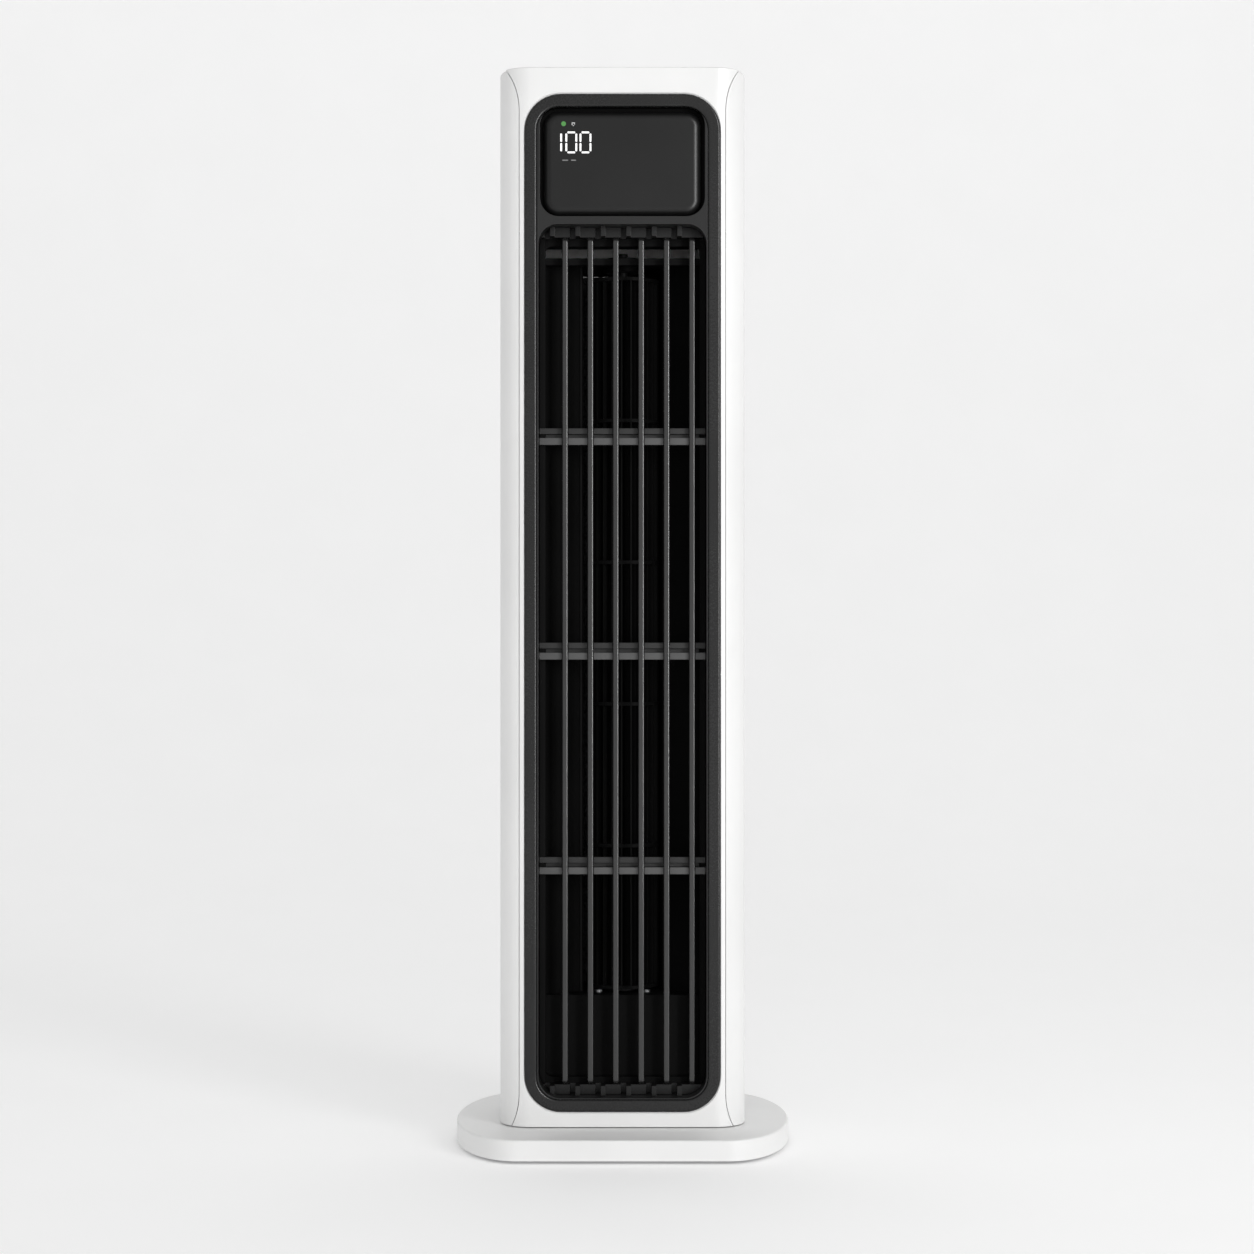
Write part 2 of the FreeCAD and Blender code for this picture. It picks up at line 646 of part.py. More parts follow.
def make_base_weight():
    """The steel weight that keeps the fan upright, clear of the post, the bosses and the gland."""
    low = plate_top
    high = plate_top + D.weight_thickness
    blank = base_oval("weight_blank", D.weight_inset, low, high)
    through = (low - PAST, high + PAST)
    tools = [rod("weight_hole", D.weight_bore, through)]
    for i, (x, y) in enumerate(boss_places, start=1):
        tools.append(rod(f"weight_boss_gap_{i}", D.boss_radius + D.weight_gap, through, x, y))
    slot_half = D.gland_flange_width / 2 + D.weight_gap
    tools.append(block("weight_cable_slot", (-slot_half, slot_half), (NONE, D.base_depth / 2), through))
    node(cut("weight_cut", blank, *tools), "base_weight")


def make_feet():
    """Four round rubber feet."""
    feet = [rod(f"foot_{i}", D.foot_radius, (NONE, plate_bottom + D.foot_seat), x, y)
            for i, (x, y) in enumerate(foot_places, start=1)]
    node(group("feet", feet), "rubber_feet")


def make_base_screws():
    """Screws from below that hold the bottom plate to the cover's bosses."""
    seat = plate_bottom + D.foot_seat
    tip = D.base_top - D.base_wall - D.boss_floor
    screws = [hanging_screw(f"base_screw_{i}", x, y, tip, seat)
              for i, (x, y) in enumerate(boss_places, start=1)]
    node(group("base_screw_set", screws), "base_screws")


def make_pivot_post():
    """The hollow post that the tower turns on, with its flange on the bottom plate."""
    flange = rod("post_flange", flange_radius, (plate_top, plate_top + D.flange_thickness))
    column = rod("post_column", D.post_radius, (plate_top, D.post_top))
    tools = [rod("post_hole", D.post_bore, (plate_top - PAST, D.post_top + PAST))]
    for i, (x, y) in enumerate(post_screw_places(), start=1):
        through = (plate_top - PAST, plate_top + D.flange_thickness + PAST)
        tools.append(rod(f"post_screw_hole_{i}", D.screw_radius + D.screw_fit, through, x, y))
    groove = (stop_top, stop_top + D.clip_thickness)
    ring = tube("post_groove", D.post_radius + PAST, D.post_radius - D.clip_groove, groove)
    tools.append(ring)
    node(cut("post_cut", fuse("post_blank", flange, column), *tools), "pivot_post")
    tip = plate_bottom + D.thread_floor
    screws = [upright_screw(f"post_screw_{i}", x, y, tip, plate_top + D.flange_thickness)
              for i, (x, y) in enumerate(post_screw_places(), start=1)]
    node(group("post_screw_set", screws), "post_screws")
    node(tube("clip_ring", clip_radius, D.post_radius - D.clip_groove, groove), "retainer_ring")


def make_thrust_ring():
    """The low-friction ring that the tower rests on."""
    level = (D.base_top, D.base_top + D.thrust_thickness)
    node(tube("thrust", thrust_outer, thrust_inner, level), "thrust_ring")


def involute(radius, base_radius):
    """The polar angle of an involute at a radius."""
    pressure = math.acos(base_radius / radius)
    return math.tan(pressure) - pressure


PRESSURE_ANGLE = 20
TOOTH_TOP = 0.9
TOOTH_ROOT = 1.25
FLANK_STEPS = 4


def gear_shape(teeth, z):
    """A spur gear about the Z axis with a tooth centred on +X."""
    module = D.gear_module.value
    pitch = module * teeth / 2
    base_radius = pitch * math.cos(math.radians(PRESSURE_ANGLE))
    tip = pitch + TOOTH_TOP * module
    root = pitch - TOOTH_ROOT * module
    start = max(base_radius, root)
    half = math.pi / (2 * teeth) - D.gear_backlash.value / (2 * pitch) + involute(pitch, base_radius)
    radii = [start + (tip - start) * step / FLANK_STEPS for step in range(FLANK_STEPS + 1)]
    flank = [(radius, half - involute(radius, base_radius)) for radius in radii]
    points = []
    for tooth in range(teeth):
        middle = 2 * math.pi * tooth / teeth
        edge = [(root, -half)] + [(r, -a) for r, a in flank] + [(r, a) for r, a in reversed(flank)]
        edge.append((root, half))
        for radius, angle in edge:
            turn = middle + angle
            points.append(FreeCAD.Vector(radius * math.cos(turn), radius * math.sin(turn), z[0].value))
    wire = Part.makePolygon(points + points[:1])
    return Part.Face(wire).extrude(FreeCAD.Vector(0, 0, (z[1] - z[0]).value))


def gear(name, teeth, z, x=0):
    """A gear as a document object; its tooth outline has no primitive of its own."""
    thing = doc.addObject("Part::Feature", name)
    thing.Shape = gear_shape(int(teeth.value), z)
    return move(thing, x)


def make_swing_gears():
    """The gear fixed on the post and the motor's pinion that walks round it."""
    level = (D.gear_bottom, gear_top)
    through = (D.gear_bottom - PAST, gear_top + PAST)
    fixed = gear("fixed_teeth", D.gear_teeth, level)
    node(cut("fixed_gear_cut", fixed, rod("fixed_bore", D.post_radius, through)), "fixed_gear")
    pinion = gear("pinion_teeth_blank", D.pinion_teeth, level, pinion_x)
    bore = rod("pinion_bore", D.swing_shaft_radius, through, pinion_x)
    node(cut("pinion_cut", pinion, bore), "swing_pinion")
    motor_top = D.swing_bracket_level + D.swing_bracket_thickness + D.swing_motor_height
    span = (D.gear_bottom - D.swing_shaft_end, motor_top - D.swing_shaft_gap)
    shaft = rod("swing_shaft_rod", D.swing_shaft_radius, span, pinion_x)
    node(shaft, "swing_shaft")


def make_stop_arm():
    """The arm on the post that meets the floor's lugs at each end of the swing."""
    level = (gear_top, stop_top)
    hub = rod("stop_hub", clip_radius + D.stop_hub_rim, level)
    half = D.stop_width / 2
    arm = block("stop_finger", (-half, half), (-stop_reach, NONE), level)
    bore = rod("stop_bore", D.post_radius, (gear_top - PAST, stop_top + PAST))
    node(cut("stop_cut", fuse("stop_whole", hub, arm), bore), "stop_arm")


def make_cord_gland():
    """The inlet at the back of the base, open for a cord."""
    inner = D.base_depth / 2 - D.base_wall
    wide = D.gland_flange_width / 2
    tall = D.gland_flange_height / 2
    flange = block("gland_flange_block", (-wide, wide), (inner - D.gland_flange, inner),
                   (D.gland_level - tall, D.gland_level + tall))
    nose = bar("gland_nose_bar", D.gland_nose, (inner - PAST, D.base_depth / 2), 0, D.gland_level)
    span = (inner - D.gland_flange - PAST, D.base_depth / 2 + PAST)
    bore = bar("gland_hole", D.gland_bore, span, 0, D.gland_level)
    node(cut("gland_cut", fuse("gland_whole", flange, nose), bore), "cord_gland")


# ---- Tower shell --------------------------------------------------------------------------

def seam_outline(grow, bottom, top):
    """The front panel's outline with its flared ends, moved outwards."""
    half = D.body_width / 2 - D.seam_inset + grow
    low = body_bottom + D.flare_rise
    return flared_strip(half, D.seam_flare - grow, low, D.body_top - D.flare_drop, bottom, top)


def shell_blank(name, edge):
    """The tower's outer block with its top edge rounded."""
    body = padded(name, "XY_Plane", body_bottom, D.body_top, body_plan(NONE))
    return dress(body, "Fillet", name + "_edge", edge, lies_at("Z", D.body_top))


def hollow(name, top):
    """The room inside the tower's wall."""
    return padded(name, "XY_Plane", body_bottom - PAST, top, body_plan(D.wall))


def cap_outline(grow):
    """The top cap's outline, seen from above, moved outwards."""
    half = D.body_width / 2 - D.cap_inset + grow
    corner = D.cap_corner + grow
    return rounded_rectangle(-half, half, front + D.cap_front_inset - grow, rear - D.cap_rear_inset + grow,
                             corner, corner)


def grille_outline(grow):
    """The rear grille's outline, seen from behind, moved outwards."""
    half = grille_half + grow
    corner = D.grille_corner + grow
    return rounded_rectangle(-half, half, grille_bottom - grow, grille_top + grow, corner, corner)


def make_shell():
    """The white shell: both sides, the back and the roof, open for the panel, cap and grille."""
    above = D.body_top + PAST
    strip = padded("shell_front_cut", "XZ_Plane", panel_back - D.seam_gap / 2, -front + PAST,
                   seam_outline(D.seam_gap / 2, body_bottom - PAST, above))
    cap_hole = padded("shell_cap_cut", "XY_Plane", D.body_top - D.wall - PAST, above,
                      cap_outline(D.seam_gap / 2))
    grille_hole = padded("shell_grille_cut", "XZ_Plane", -rear - PAST, -rear + D.wall + PAST,
                         grille_outline(D.grille_fit))
    blank = shell_blank("shell_outside", D.shell_edge)
    room = hollow("shell_room", D.body_top - D.wall)
    node(cut("shell_cut", blank, room, strip, cap_hole, grille_hole), "rear_shell")


def make_front_panel():
    """The white front panel that wraps a little round the corners, with its hole for the bezel."""
    strip = padded("panel_strip", "XZ_Plane", panel_back + D.seam_gap / 2, -front + PAST,
                   seam_outline(-D.seam_gap / 2, body_bottom - PAST, D.body_top + PAST))
    blank = common("panel_blank_cut", shell_blank("panel_outside", D.panel_edge), strip)
    room = hollow("panel_room", D.body_top - D.wall)
    hole = padded("panel_hole", "XZ_Plane", panel_back, -front + PAST, bezel_outline(D.bezel_fit))
    lip_start = -front - D.panel_lip
    lip = padded("panel_lip_cut", "XZ_Plane", lip_start, -front + PAST, bezel_outline(D.bezel_fit), taper=45)
    node(cut("panel_cut", blank, room, hole, lip), "front_panel")


def make_top_cap():
    """The flat cap let into the roof, on a ledge below its edge."""
    level = D.body_top - D.cap_drop
    body = padded("cap_plate", "XY_Plane", level - D.wall, level, cap_outline(-D.seam_gap / 2))
    dress(body, "Fillet", "cap_rounding", D.cap_edge, lies_at("Z", level))
    ledge_top = D.body_top - D.wall - D.cap_drop
    skirt = padded("cap_skirt", "XY_Plane", ledge_top - D.cap_seat, ledge_top,
                   cap_outline(D.cap_lip), cap_outline(-D.cap_lip))
    node(fuse("cap_whole", body, skirt), "top_cap")


def make_tower_floor():
    """The plate that closes the tower's underside, with the bearing collar and the stop lugs."""
    plate = padded("floor_plate", "XY_Plane", D.floor_level, floor_top, body_plan(D.wall + D.floor_fit))
    low = D.base_top + D.thrust_thickness + D.moving_gap
    collar = rod("floor_collar", D.post_radius + D.collar_wall, (D.floor_level, D.collar_top))
    seat = rod("floor_seat", thrust_outer, (low, D.floor_level + PAST))
    lugs = []
    reach = stop_reach - D.stop_lug / 2
    for side in (-1, 1):
        angle = math.radians(SIZES["stop_angle"])
        x = side * math.sin(angle) * reach
        y = -math.cos(angle) * reach
        level = (floor_top - PAST, stop_top)
        lugs.append(rod("floor_lug_left" if side < 0 else "floor_lug_right", D.stop_lug / 2, level, x, y))
    through = (low - PAST, D.collar_top + PAST)
    bore = rod("floor_bore", D.post_radius + D.post_clearance, through)
    node(cut("floor_cut", fuse("floor_whole", plate, collar, seat, *lugs), bore), "tower_floor")


# ---- Black front --------------------------------------------------------------------------

def bezel_outline(grow):
    """The bezel's outer edge, moved outwards."""
    half = bezel_half + grow
    corner = D.bezel_corner + grow
    return rounded_rectangle(-half, half, bezel_bottom - grow, bezel_top + grow, corner, corner)


def window_outline(grow):
    """The bezel's inner edge, moved outwards."""
    half = window_half + grow
    corner = D.window_corner + grow
    return rounded_rectangle(-half, half, window_bottom - grow, window_top + grow, corner, corner)


def outlet_outline(grow):
    """The air outlet's edge: flatter corners above than below."""
    half = outlet_half + grow
    return rounded_rectangle(-half, half, outlet_bottom - grow, outlet_top + grow,
                             D.outlet_lower_corner + grow, D.outlet_upper_corner + grow)


def recess_outline(grow):
    """The edge of the display's recess."""
    half = recess_half + grow
    corner = D.recess_corner + grow
    return rounded_rectangle(-half, half, recess_bottom - grow, recess_top + grow, corner, corner)


def pad_outline(inset):
    """The display panel's edge, moved inwards."""
    half = pad_half - inset
    corner = D.pad_corner - inset
    return rounded_rectangle(-half, half, pad_bottom + inset, pad_top - inset, corner, corner)


def make_bezel():
    """The glossy black ring round the outlet and the display."""
    body = padded("bezel_body", "XZ_Plane", bezel_face - D.bezel_depth, bezel_face,
                  bezel_outline(NONE), window_outline(NONE))
    straight_half = (bezel_half - D.bezel_corner).value
    inner_level = window_top.value - MIDDLE

    def is_inner(reach, level):
        return reach < window_half.value + TOUCH and level < inner_level + TOUCH

    def is_outer(reach, level):
        return not is_inner(reach, level) and reach > straight_half - TOUCH

    dress(body, "Fillet", "bezel_rounding", D.bezel_edge, lies_at("Y", -bezel_face, is_outer))
    dress(body, "Fillet", "bezel_inner_rounding", D.bezel_inner_edge, lies_at("Y", -bezel_face, is_inner))
    node(body, "bezel")


def make_fascia():
    """The recessed black plate inside the bezel, with the sleeve of the outlet behind it."""
    face = bezel_face - D.fascia_set
    plate = padded("fascia_plate", "XZ_Plane", fascia_back, face,
                   window_outline(-D.fascia_fit), outlet_outline(NONE))
    sleeve = padded("fascia_sleeve", "XZ_Plane", guard_back, fascia_back,
                    outlet_outline(D.sleeve_wall), outlet_outline(NONE))
    recess = padded("fascia_recess", "XZ_Plane", fascia_back - PAST, face + PAST, recess_outline(NONE))
    node(cut("fascia_cut", fuse("fascia_whole", plate, sleeve), recess), "fascia")


def make_display():
    """The soft-edged display panel in its tray, and the circuit board behind it."""
    face = bezel_face - D.pad_set
    back = face - D.pad_thickness
    body = padded("display_body", "XZ_Plane", back, face, pad_outline(NONE))
    dress(body, "Fillet", "display_rounding", D.pad_edge, lies_at("Y", -face))
    node(body, "display_panel")
    tray = padded("tray_plate", "XZ_Plane", back - D.tray_thickness, back, recess_outline(D.tray_rim))
    rim = padded("tray_rim_wall", "XZ_Plane", back - D.tray_thickness / 2, fascia_back,
                 recess_outline(D.tray_rim), recess_outline(NONE))
    sleeve = padded("tray_sleeve_cut", "XZ_Plane", guard_back, bezel_face,
                    outlet_outline(D.sleeve_wall + D.fascia_fit))
    node(cut("tray_cut", fuse("tray_whole", tray, rim), sleeve), "display_tray")
    board_face = back - D.tray_thickness - D.board_gap
    board = padded("board_plate", "XZ_Plane", board_face - D.board_thickness, board_face,
                   pad_outline(D.board_inset))
    node(board, "display_board")


# ---- Outlet guard -------------------------------------------------------------------------

def set_back(distance):
    """A place behind the bezel's face, counted towards the front."""
    return bezel_face - distance


def slat_x(index):
    """The middle of a slat."""
    return D.slat_start - rail_inner + D.slat_pitch * index


def make_slat(index):
    """An upright slat with rounded ends and its two long front edges rounded."""
    x = slat_x(index)
    face = -set_back(D.slat_set)
    outline = rounded_rectangle(face, face + D.slat_depth, slat_bottom, slat_top, D.slat_end, D.slat_end)
    slat = padded(f"slat_{index + 1}", "YZ_Plane", x - D.slat_width / 2, x + D.slat_width / 2, outline)
    return dress(slat, "Fillet", f"slat_edge_{index + 1}", D.slat_rounding, front_corner_edges(face, x))


def make_guard():
    """The outlet guard: upright slats, cross ribs, side rails and comb-like end rails."""
    slats = [make_slat(index) for index in range(slat_count)]
    node(group("slat_set_group", slats), "guard_slats")
    shape = padded("rail_limit", "XZ_Plane", guard_back, bezel_face, outlet_outline(-D.rail_fit))
    ribs = group("rib_set_group", [make_cross_rib(index) for index in range(SIZES["rib_count"])])
    node(cut("rib_cut", common("rib_clip", ribs, shape), group("slat_slots", slats)), "guard_cross_ribs")
    deep = (-set_back(D.rail_set), -guard_back)
    rails = [block("rail_left", (-outlet_half, -rail_inner), deep, (slat_bottom, slat_top)),
             block("rail_right", (rail_inner, outlet_half), deep, (slat_bottom, slat_top))]
    node(common("rail_clip", group("rail_pair", rails), shape), "guard_side_rails")
    make_end_rails(shape, -guard_back)


def make_cross_rib(index):
    """A cross rib: a main bar and a set-back second bar on one web, lying on the side rails."""
    rail_face = -set_back(D.rail_set)
    wide = (-outlet_half, outlet_half)
    inner = (-rail_inner, rail_inner)
    main_z = rib_bottom + rib_pitch * index
    second_z = main_z + D.second_rib_rise
    bars = (("main", main_z, D.rib_height / 2, D.rib_set),
            ("second", second_z, D.second_rib_height / 2, D.second_rib_set))
    pieces = []
    for tag, z, half, depth in bars:
        name = f"rib_{tag}_{index + 1}"
        level = (z - half, z + half)
        pieces.append(block(name + "_face", wide, (-set_back(depth), rail_face), level))
        pieces.append(block(name + "_root", inner, (rail_face - D.rib_lap, -guard_back), level))
    web = (main_z - D.rib_height / 2, second_z + D.second_rib_height / 2)
    pieces.append(block(f"rib_web_{index + 1}", inner, (-guard_back - D.rib_web, -guard_back), web))
    return fuse(f"rib_{index + 1}", *pieces)


def front_corner_edges(face, x):
    """A test for a slat's two long front edges, and the arcs that end them."""

    def test(edge):
        box = edge.BoundBox
        on_side = abs(abs(box.XMin - x.value) - SIZES["slat_width"] / 2) < TOUCH and box.XLength < TOUCH
        return on_side and box.YMin < face.value + TOUCH and box.ZLength > SIZES["slat_end"] + TOUCH

    return test


def make_end_rails(shape, back):
    """The rails above and below the slats, with stub ribs between them and notches beside those."""
    ends = []
    for tag, span in (("lower", (outlet_bottom, slat_bottom)), ("upper", (slat_top, outlet_top))):
        face = -set_back(D.end_rail_set)
        wide = (-outlet_half, outlet_half)
        pieces = [block(f"{tag}_rail", wide, (face, back), span)]
        notches = []
        for index in range(slat_count):
            x = slat_x(index) - D.slat_pitch / 2
            half = D.stub_width / 2
            stub_face = -set_back(D.stub_set)
            pieces.append(block(f"{tag}_stub_{index + 1}", (x - half, x + half), (stub_face, back), span))
            notch = (x - half - D.stub_notch, x - half)
            high = (span[0] - PAST, span[1] + PAST)
            notches.append(block(f"{tag}_notch_{index + 1}", notch, (face - PAST, back - D.rib_web), high))
        ends.append(cut(f"{tag}_comb", fuse(f"{tag}_comb_blank", *pieces), *notches))
    node(common("comb_clip", group("comb_pair", ends), shape), "guard_end_rails")


# ---- Inside the tower ---------------------------------------------------------------------

def make_inner_frame():
    """The frame behind the guard that carries the air duct."""
    half = frame_half
    border = D.frame_border
    outer = rounded_rectangle(-half - border, half + border, frame_bottom - border, frame_top + border,
                              D.frame_corner, D.frame_corner)
    inner = rounded_rectangle(-half, half, frame_bottom, frame_top, D.frame_corner, D.frame_corner)
    frame = padded("inner_frame_body", "XZ_Plane", guard_back - D.frame_thickness, guard_back, outer, inner)
    reach = D.frame_bar_height / 2
    crossbar = block("frame_crossbar", (-half - PAST, half + PAST), (-guard_back, room_front),
                     (frame_bar_level - reach, frame_bar_level + reach))
    node(fuse("inner_frame_whole", frame, crossbar), "inner_frame")


def make_lower_cover():
    """The flat cover in front of the fan motor, below the impeller."""
    front_y = room_front
    cover_half = frame_half + D.cover_lap
    plate = block("cover_plate_block", (-cover_half, cover_half), (front_y, front_y + D.cover_thickness),
                  (frame_bottom - D.cover_drop, duct_bottom))
    node(plate, "lower_cover")


def round_the_impeller(radius, angle):
    """A point seen from above at a radius and an angle in degrees about the impeller's axis."""
    turn = math.radians(angle)
    return (radius * math.cos(turn), axis_y + radius * math.sin(turn))


def make_air_guides():
    """The walls of the air duct: a guide curved round the impeller, and the tongue across from it."""
    level = (duct_bottom, duct_top)
    inner = impeller_radius + D.guide_gap
    outer = inner + D.guide_wall
    mouth = room_front
    start = SIZES["guide_start"]
    curved = doc.addObject("Part::Cylinder", "guide_outer")
    curved.Placement = FreeCAD.Placement(FreeCAD.Vector(), FreeCAD.Rotation(FreeCAD.Vector(0, 0, 1), start))
    bind(curved, Radius=outer, Height=level[1] - level[0], Angle=D.guide_sweep)
    move(curved, 0, axis_y, level[0])
    core = rod("guide_core", inner, (level[0] - PAST, level[1] + PAST), 0, axis_y)
    flat = padded("guide_flat", "XY_Plane", *level, polygon(
        (frame_half, mouth), (frame_half + D.guide_mouth, mouth),
        round_the_impeller(outer, start), round_the_impeller(inner + D.guide_lap, start)))
    node(fuse("guide_whole", cut("guide_curve", curved, core), flat), "air_guide")
    angle = SIZES["tongue_angle"]
    flat = padded("tongue_flat", "XY_Plane", *level, polygon(
        (-frame_half, mouth), round_the_impeller(inner, angle),
        round_the_impeller(outer, angle), (-frame_half - D.guide_mouth, mouth)))
    tip = rod("tongue_tip_rod", D.tongue_tip, level, *round_the_impeller(inner + D.tongue_tip, angle))
    node(fuse("tongue_whole", flat, tip), "air_tongue")


def bracket_plate(name, low, high):
    """A plate across the tower that carries the end of the impeller."""
    half = frame_half + D.bracket_lap
    deep = (room_front + D.bracket_front_gap, room_back - D.bracket_rear_gap)
    return block(name, (-half, half), deep, (low, high))


def make_top_bearing():
    """The bracket, rubber and bronze bush that hold the impeller's upper axle."""
    low = bearing_low
    high = low + D.bush_height
    plate = bracket_plate("top_bracket_plate", duct_top, duct_top + D.bracket_thickness)
    boss = rod("top_bracket_boss", D.rubber_radius + D.wall, (low, high), 0, axis_y)
    seat = rod("top_bracket_seat", D.rubber_radius, (low - PAST, high + PAST), 0, axis_y)
    node(cut("top_bracket_cut", fuse("top_bracket_whole", plate, boss), seat), "top_bracket")
    node(tube("rubber_ring", D.rubber_radius, D.bush_radius, (low, high), 0, axis_y), "bearing_rubber")
    running = D.axle_radius + D.post_clearance
    node(tube("bush_ring", D.bush_radius, running, (low, high), 0, axis_y), "bearing_bush")


def section_body(index):
    """One drum of the impeller: a disc with leaning, bowed blades standing on it."""
    name = f"section_{index + 1}"
    body = doc.addObject("PartDesign::Body", name)
    add_pad(body, name + "_disc", "XY_Plane", NONE, D.disc_thickness, disc(impeller_radius))
    outer = impeller_radius - D.blade_inset
    middle = outer - D.blade_depth / 2
    inner = outer - D.blade_depth
    thick = D.blade_thickness
    blade = polygon(
        (inner, -D.blade_lean), (middle, -D.blade_bow), (outer, -thick),
        (outer, NONE), (middle, -D.blade_bow + thick), (inner, -D.blade_lean + thick),
    )
    top = section_height
    pad = add_pad(body, name + "_blade", "XY_Plane", D.disc_thickness, top, blade)
    pattern = body.newObject("PartDesign::PolarPattern", name + "_blades")
    pattern.Originals = [pad]
    pattern.Axis = (pad.Profile[0], ["N_Axis"])
    pattern.Angle = 360
    pattern.Occurrences = SIZES["blade_count"]
    body.Tip = pattern
    return move(body, 0, axis_y, impeller_bottom + section_height * index)


def make_impeller():
    """The cross-flow impeller: drums, end disc, hub, axle and the motor's rotor and shaft."""
    for index in range(SIZES["section_count"]):
        node(section_body(index), f"impeller_section_{index + 1}")
    level = impeller_top - D.disc_thickness
    node(rod("end_disc", impeller_radius, (level, impeller_top), 0, axis_y), "impeller_end_disc")
    axle = rod("axle_rod", D.axle_radius, (impeller_top, impeller_top + D.axle_length), 0, axis_y)
    node(axle, "top_axle")
    bottom = impeller_bottom
    hub = (bottom - D.hub_height / 2, bottom)
    node(tube("hub_rubber", D.hub_radius, D.axle_radius, hub, 0, axis_y), "impeller_hub")
    rotor_low = motor_bottom + D.motor_wall + D.rotor_gap * 2
    rotor = (rotor_low, rotor_low + D.rotor_height)
    node(tube("rotor_ring", rotor_radius, D.axle_radius, rotor, 0, axis_y), "motor_rotor")
    shaft = (motor_bottom + D.motor_floor, bottom)
    node(rod("shaft_rod", D.axle_radius, shaft, 0, axis_y), "motor_shaft")


def make_motor():
    """The fan motor's case, hung under its bracket by screws."""
    low = motor_bottom
    high = D.motor_bracket_level
    case = rod("case_outside", motor_radius, (low, high), 0, axis_y)
    room_low = low + D.motor_wall
    room_high = room_low + D.rotor_height + D.rotor_gap * 4
    room = rod("case_room", rotor_radius + D.rotor_gap, (room_low, room_high), 0, axis_y)
    running = D.axle_radius + D.post_clearance
    bore = rod("case_bore", running, (low + D.motor_floor, high + PAST), 0, axis_y)
    holes = [rod(f"case_hole_{i}", D.screw_radius, (high - D.motor_screw_depth, high + PAST), x, y)
             for i, (x, y) in enumerate(motor_screw_places(), start=1)]
    node(cut("case_cut", case, room, bore, *holes), "motor_case")
    top = high + D.bracket_thickness
    plate = bracket_plate("motor_bracket_plate", high, top)
    hole = rod("motor_bracket_hole", D.bracket_hole, (high - PAST, top + PAST), 0, axis_y)
    holes = [rod(f"motor_bracket_hole_{i}", D.screw_radius + D.screw_fit, (high - PAST, top + PAST), x, y)
             for i, (x, y) in enumerate(motor_screw_places(), start=1)]
    node(cut("motor_bracket_cut", plate, hole, *holes), "motor_bracket")
    screws = [upright_screw(f"motor_screw_{i}", x, y, high - D.motor_screw_depth, top)
              for i, (x, y) in enumerate(motor_screw_places(), start=1)]
    node(group("motor_screw_set", screws), "motor_screws")


def motor_screw_places():
    """Four places round the motor."""
    reach = motor_screw_circle * math.sqrt(0.5)
    return [(sx * reach, axis_y + sy * reach) for sx in (-1, 1) for sy in (-1, 1)]


def swing_screw_places():
    """Two places beside the swing motor."""
    return [(pinion_x, side * (D.swing_motor_radius + D.ear_reach)) for side in (-1, 1)]


def make_swing_bracket():
    """The bridge over the pinion that carries the swing motor, cut back round the post."""
    low = D.swing_bracket_level
    thick = D.swing_bracket_thickness
    high = low + thick
    reach = D.swing_bracket_reach
    wide = (pinion_x - D.swing_motor_radius, pinion_x + D.swing_motor_radius)
    narrow = (pinion_x - D.swing_leg_half, pinion_x + D.swing_leg_half)
    plate = block("bridge_plate", wide, (-reach, reach), (low, high))
    legs = [block("bridge_leg_front", narrow, (-reach, -reach + thick), (floor_top, high)),
            block("bridge_leg_rear", narrow, (reach - thick, reach), (floor_top, high))]
    through = (low - PAST, high + PAST)
    tools = [rod(f"bridge_screw_hole_{i}", D.screw_radius, through, x, y)
             for i, (x, y) in enumerate(swing_screw_places(), start=1)]
    tools.append(rod("bridge_hole", D.swing_shaft_radius + D.swing_hole_gap, through, pinion_x))
    tools.append(rod("bridge_post_gap", clip_radius + D.swing_post_gap, through))
    node(cut("bridge_cut", fuse("bridge_whole", plate, *legs), *tools), "swing_bracket")


def make_swing_motor():
    """The small geared motor that swings the tower, held on its bridge by two screws."""
    low = D.swing_bracket_level + D.swing_bracket_thickness
    high = low + D.swing_motor_height
    can = rod("swing_can", D.swing_motor_radius, (low, high), pinion_x)
    half = D.screw_head + D.ear_rim
    end = D.swing_motor_radius + D.ear_reach + half
    seat = low + D.ear_thickness
    ears = block("swing_ears", (pinion_x - half, pinion_x + half), (-end, end), (low, seat))
    tools = [rod(f"swing_ear_hole_{i}", D.screw_radius + D.screw_fit, (low - PAST, seat + PAST), x, y)
             for i, (x, y) in enumerate(swing_screw_places(), start=1)]
    running = D.swing_shaft_radius + D.post_clearance
    tools.append(rod("swing_bore", running, (low - PAST, high - D.swing_motor_roof), pinion_x))
    node(cut("swing_motor_cut", fuse("swing_motor_whole", can, ears), *tools), "swing_motor")
    screws = [upright_screw(f"swing_screw_{i}", x, y, D.swing_bracket_level, seat)
              for i, (x, y) in enumerate(swing_screw_places(), start=1)]
    node(group("swing_screw_set", screws), "swing_motor_screws")


def make_power_board():
    """The mains board in the head of the tower, with its large capacitor, on the head's floor."""
    low = head_plate_level
    floor = low + D.head_plate_thickness
    slab = padded("head_slab", "XY_Plane", low, floor, body_plan(D.wall + D.floor_fit))
    behind = block("head_limit", (-D.body_width / 2, D.body_width / 2), (room_front + D.floor_fit, rear),
                   (low - PAST, floor + PAST))
    node(common("head_clip", slab, behind), "head_plate")
    half = D.power_board_half
    y = D.power_board_y
    high = floor + D.power_board_height
    board = block("power_plate", (-half, half), (y, y + D.board_thickness), (floor, high))
    node(board, "power_board")
    middle = (floor + high) / 2
    span = (y + D.board_thickness, y + D.board_thickness + D.capacitor_length)
    node(bar("capacitor_can", D.capacitor_radius, span, half / 2, middle), "power_capacitor")


# ---- Rear grille --------------------------------------------------------------------------

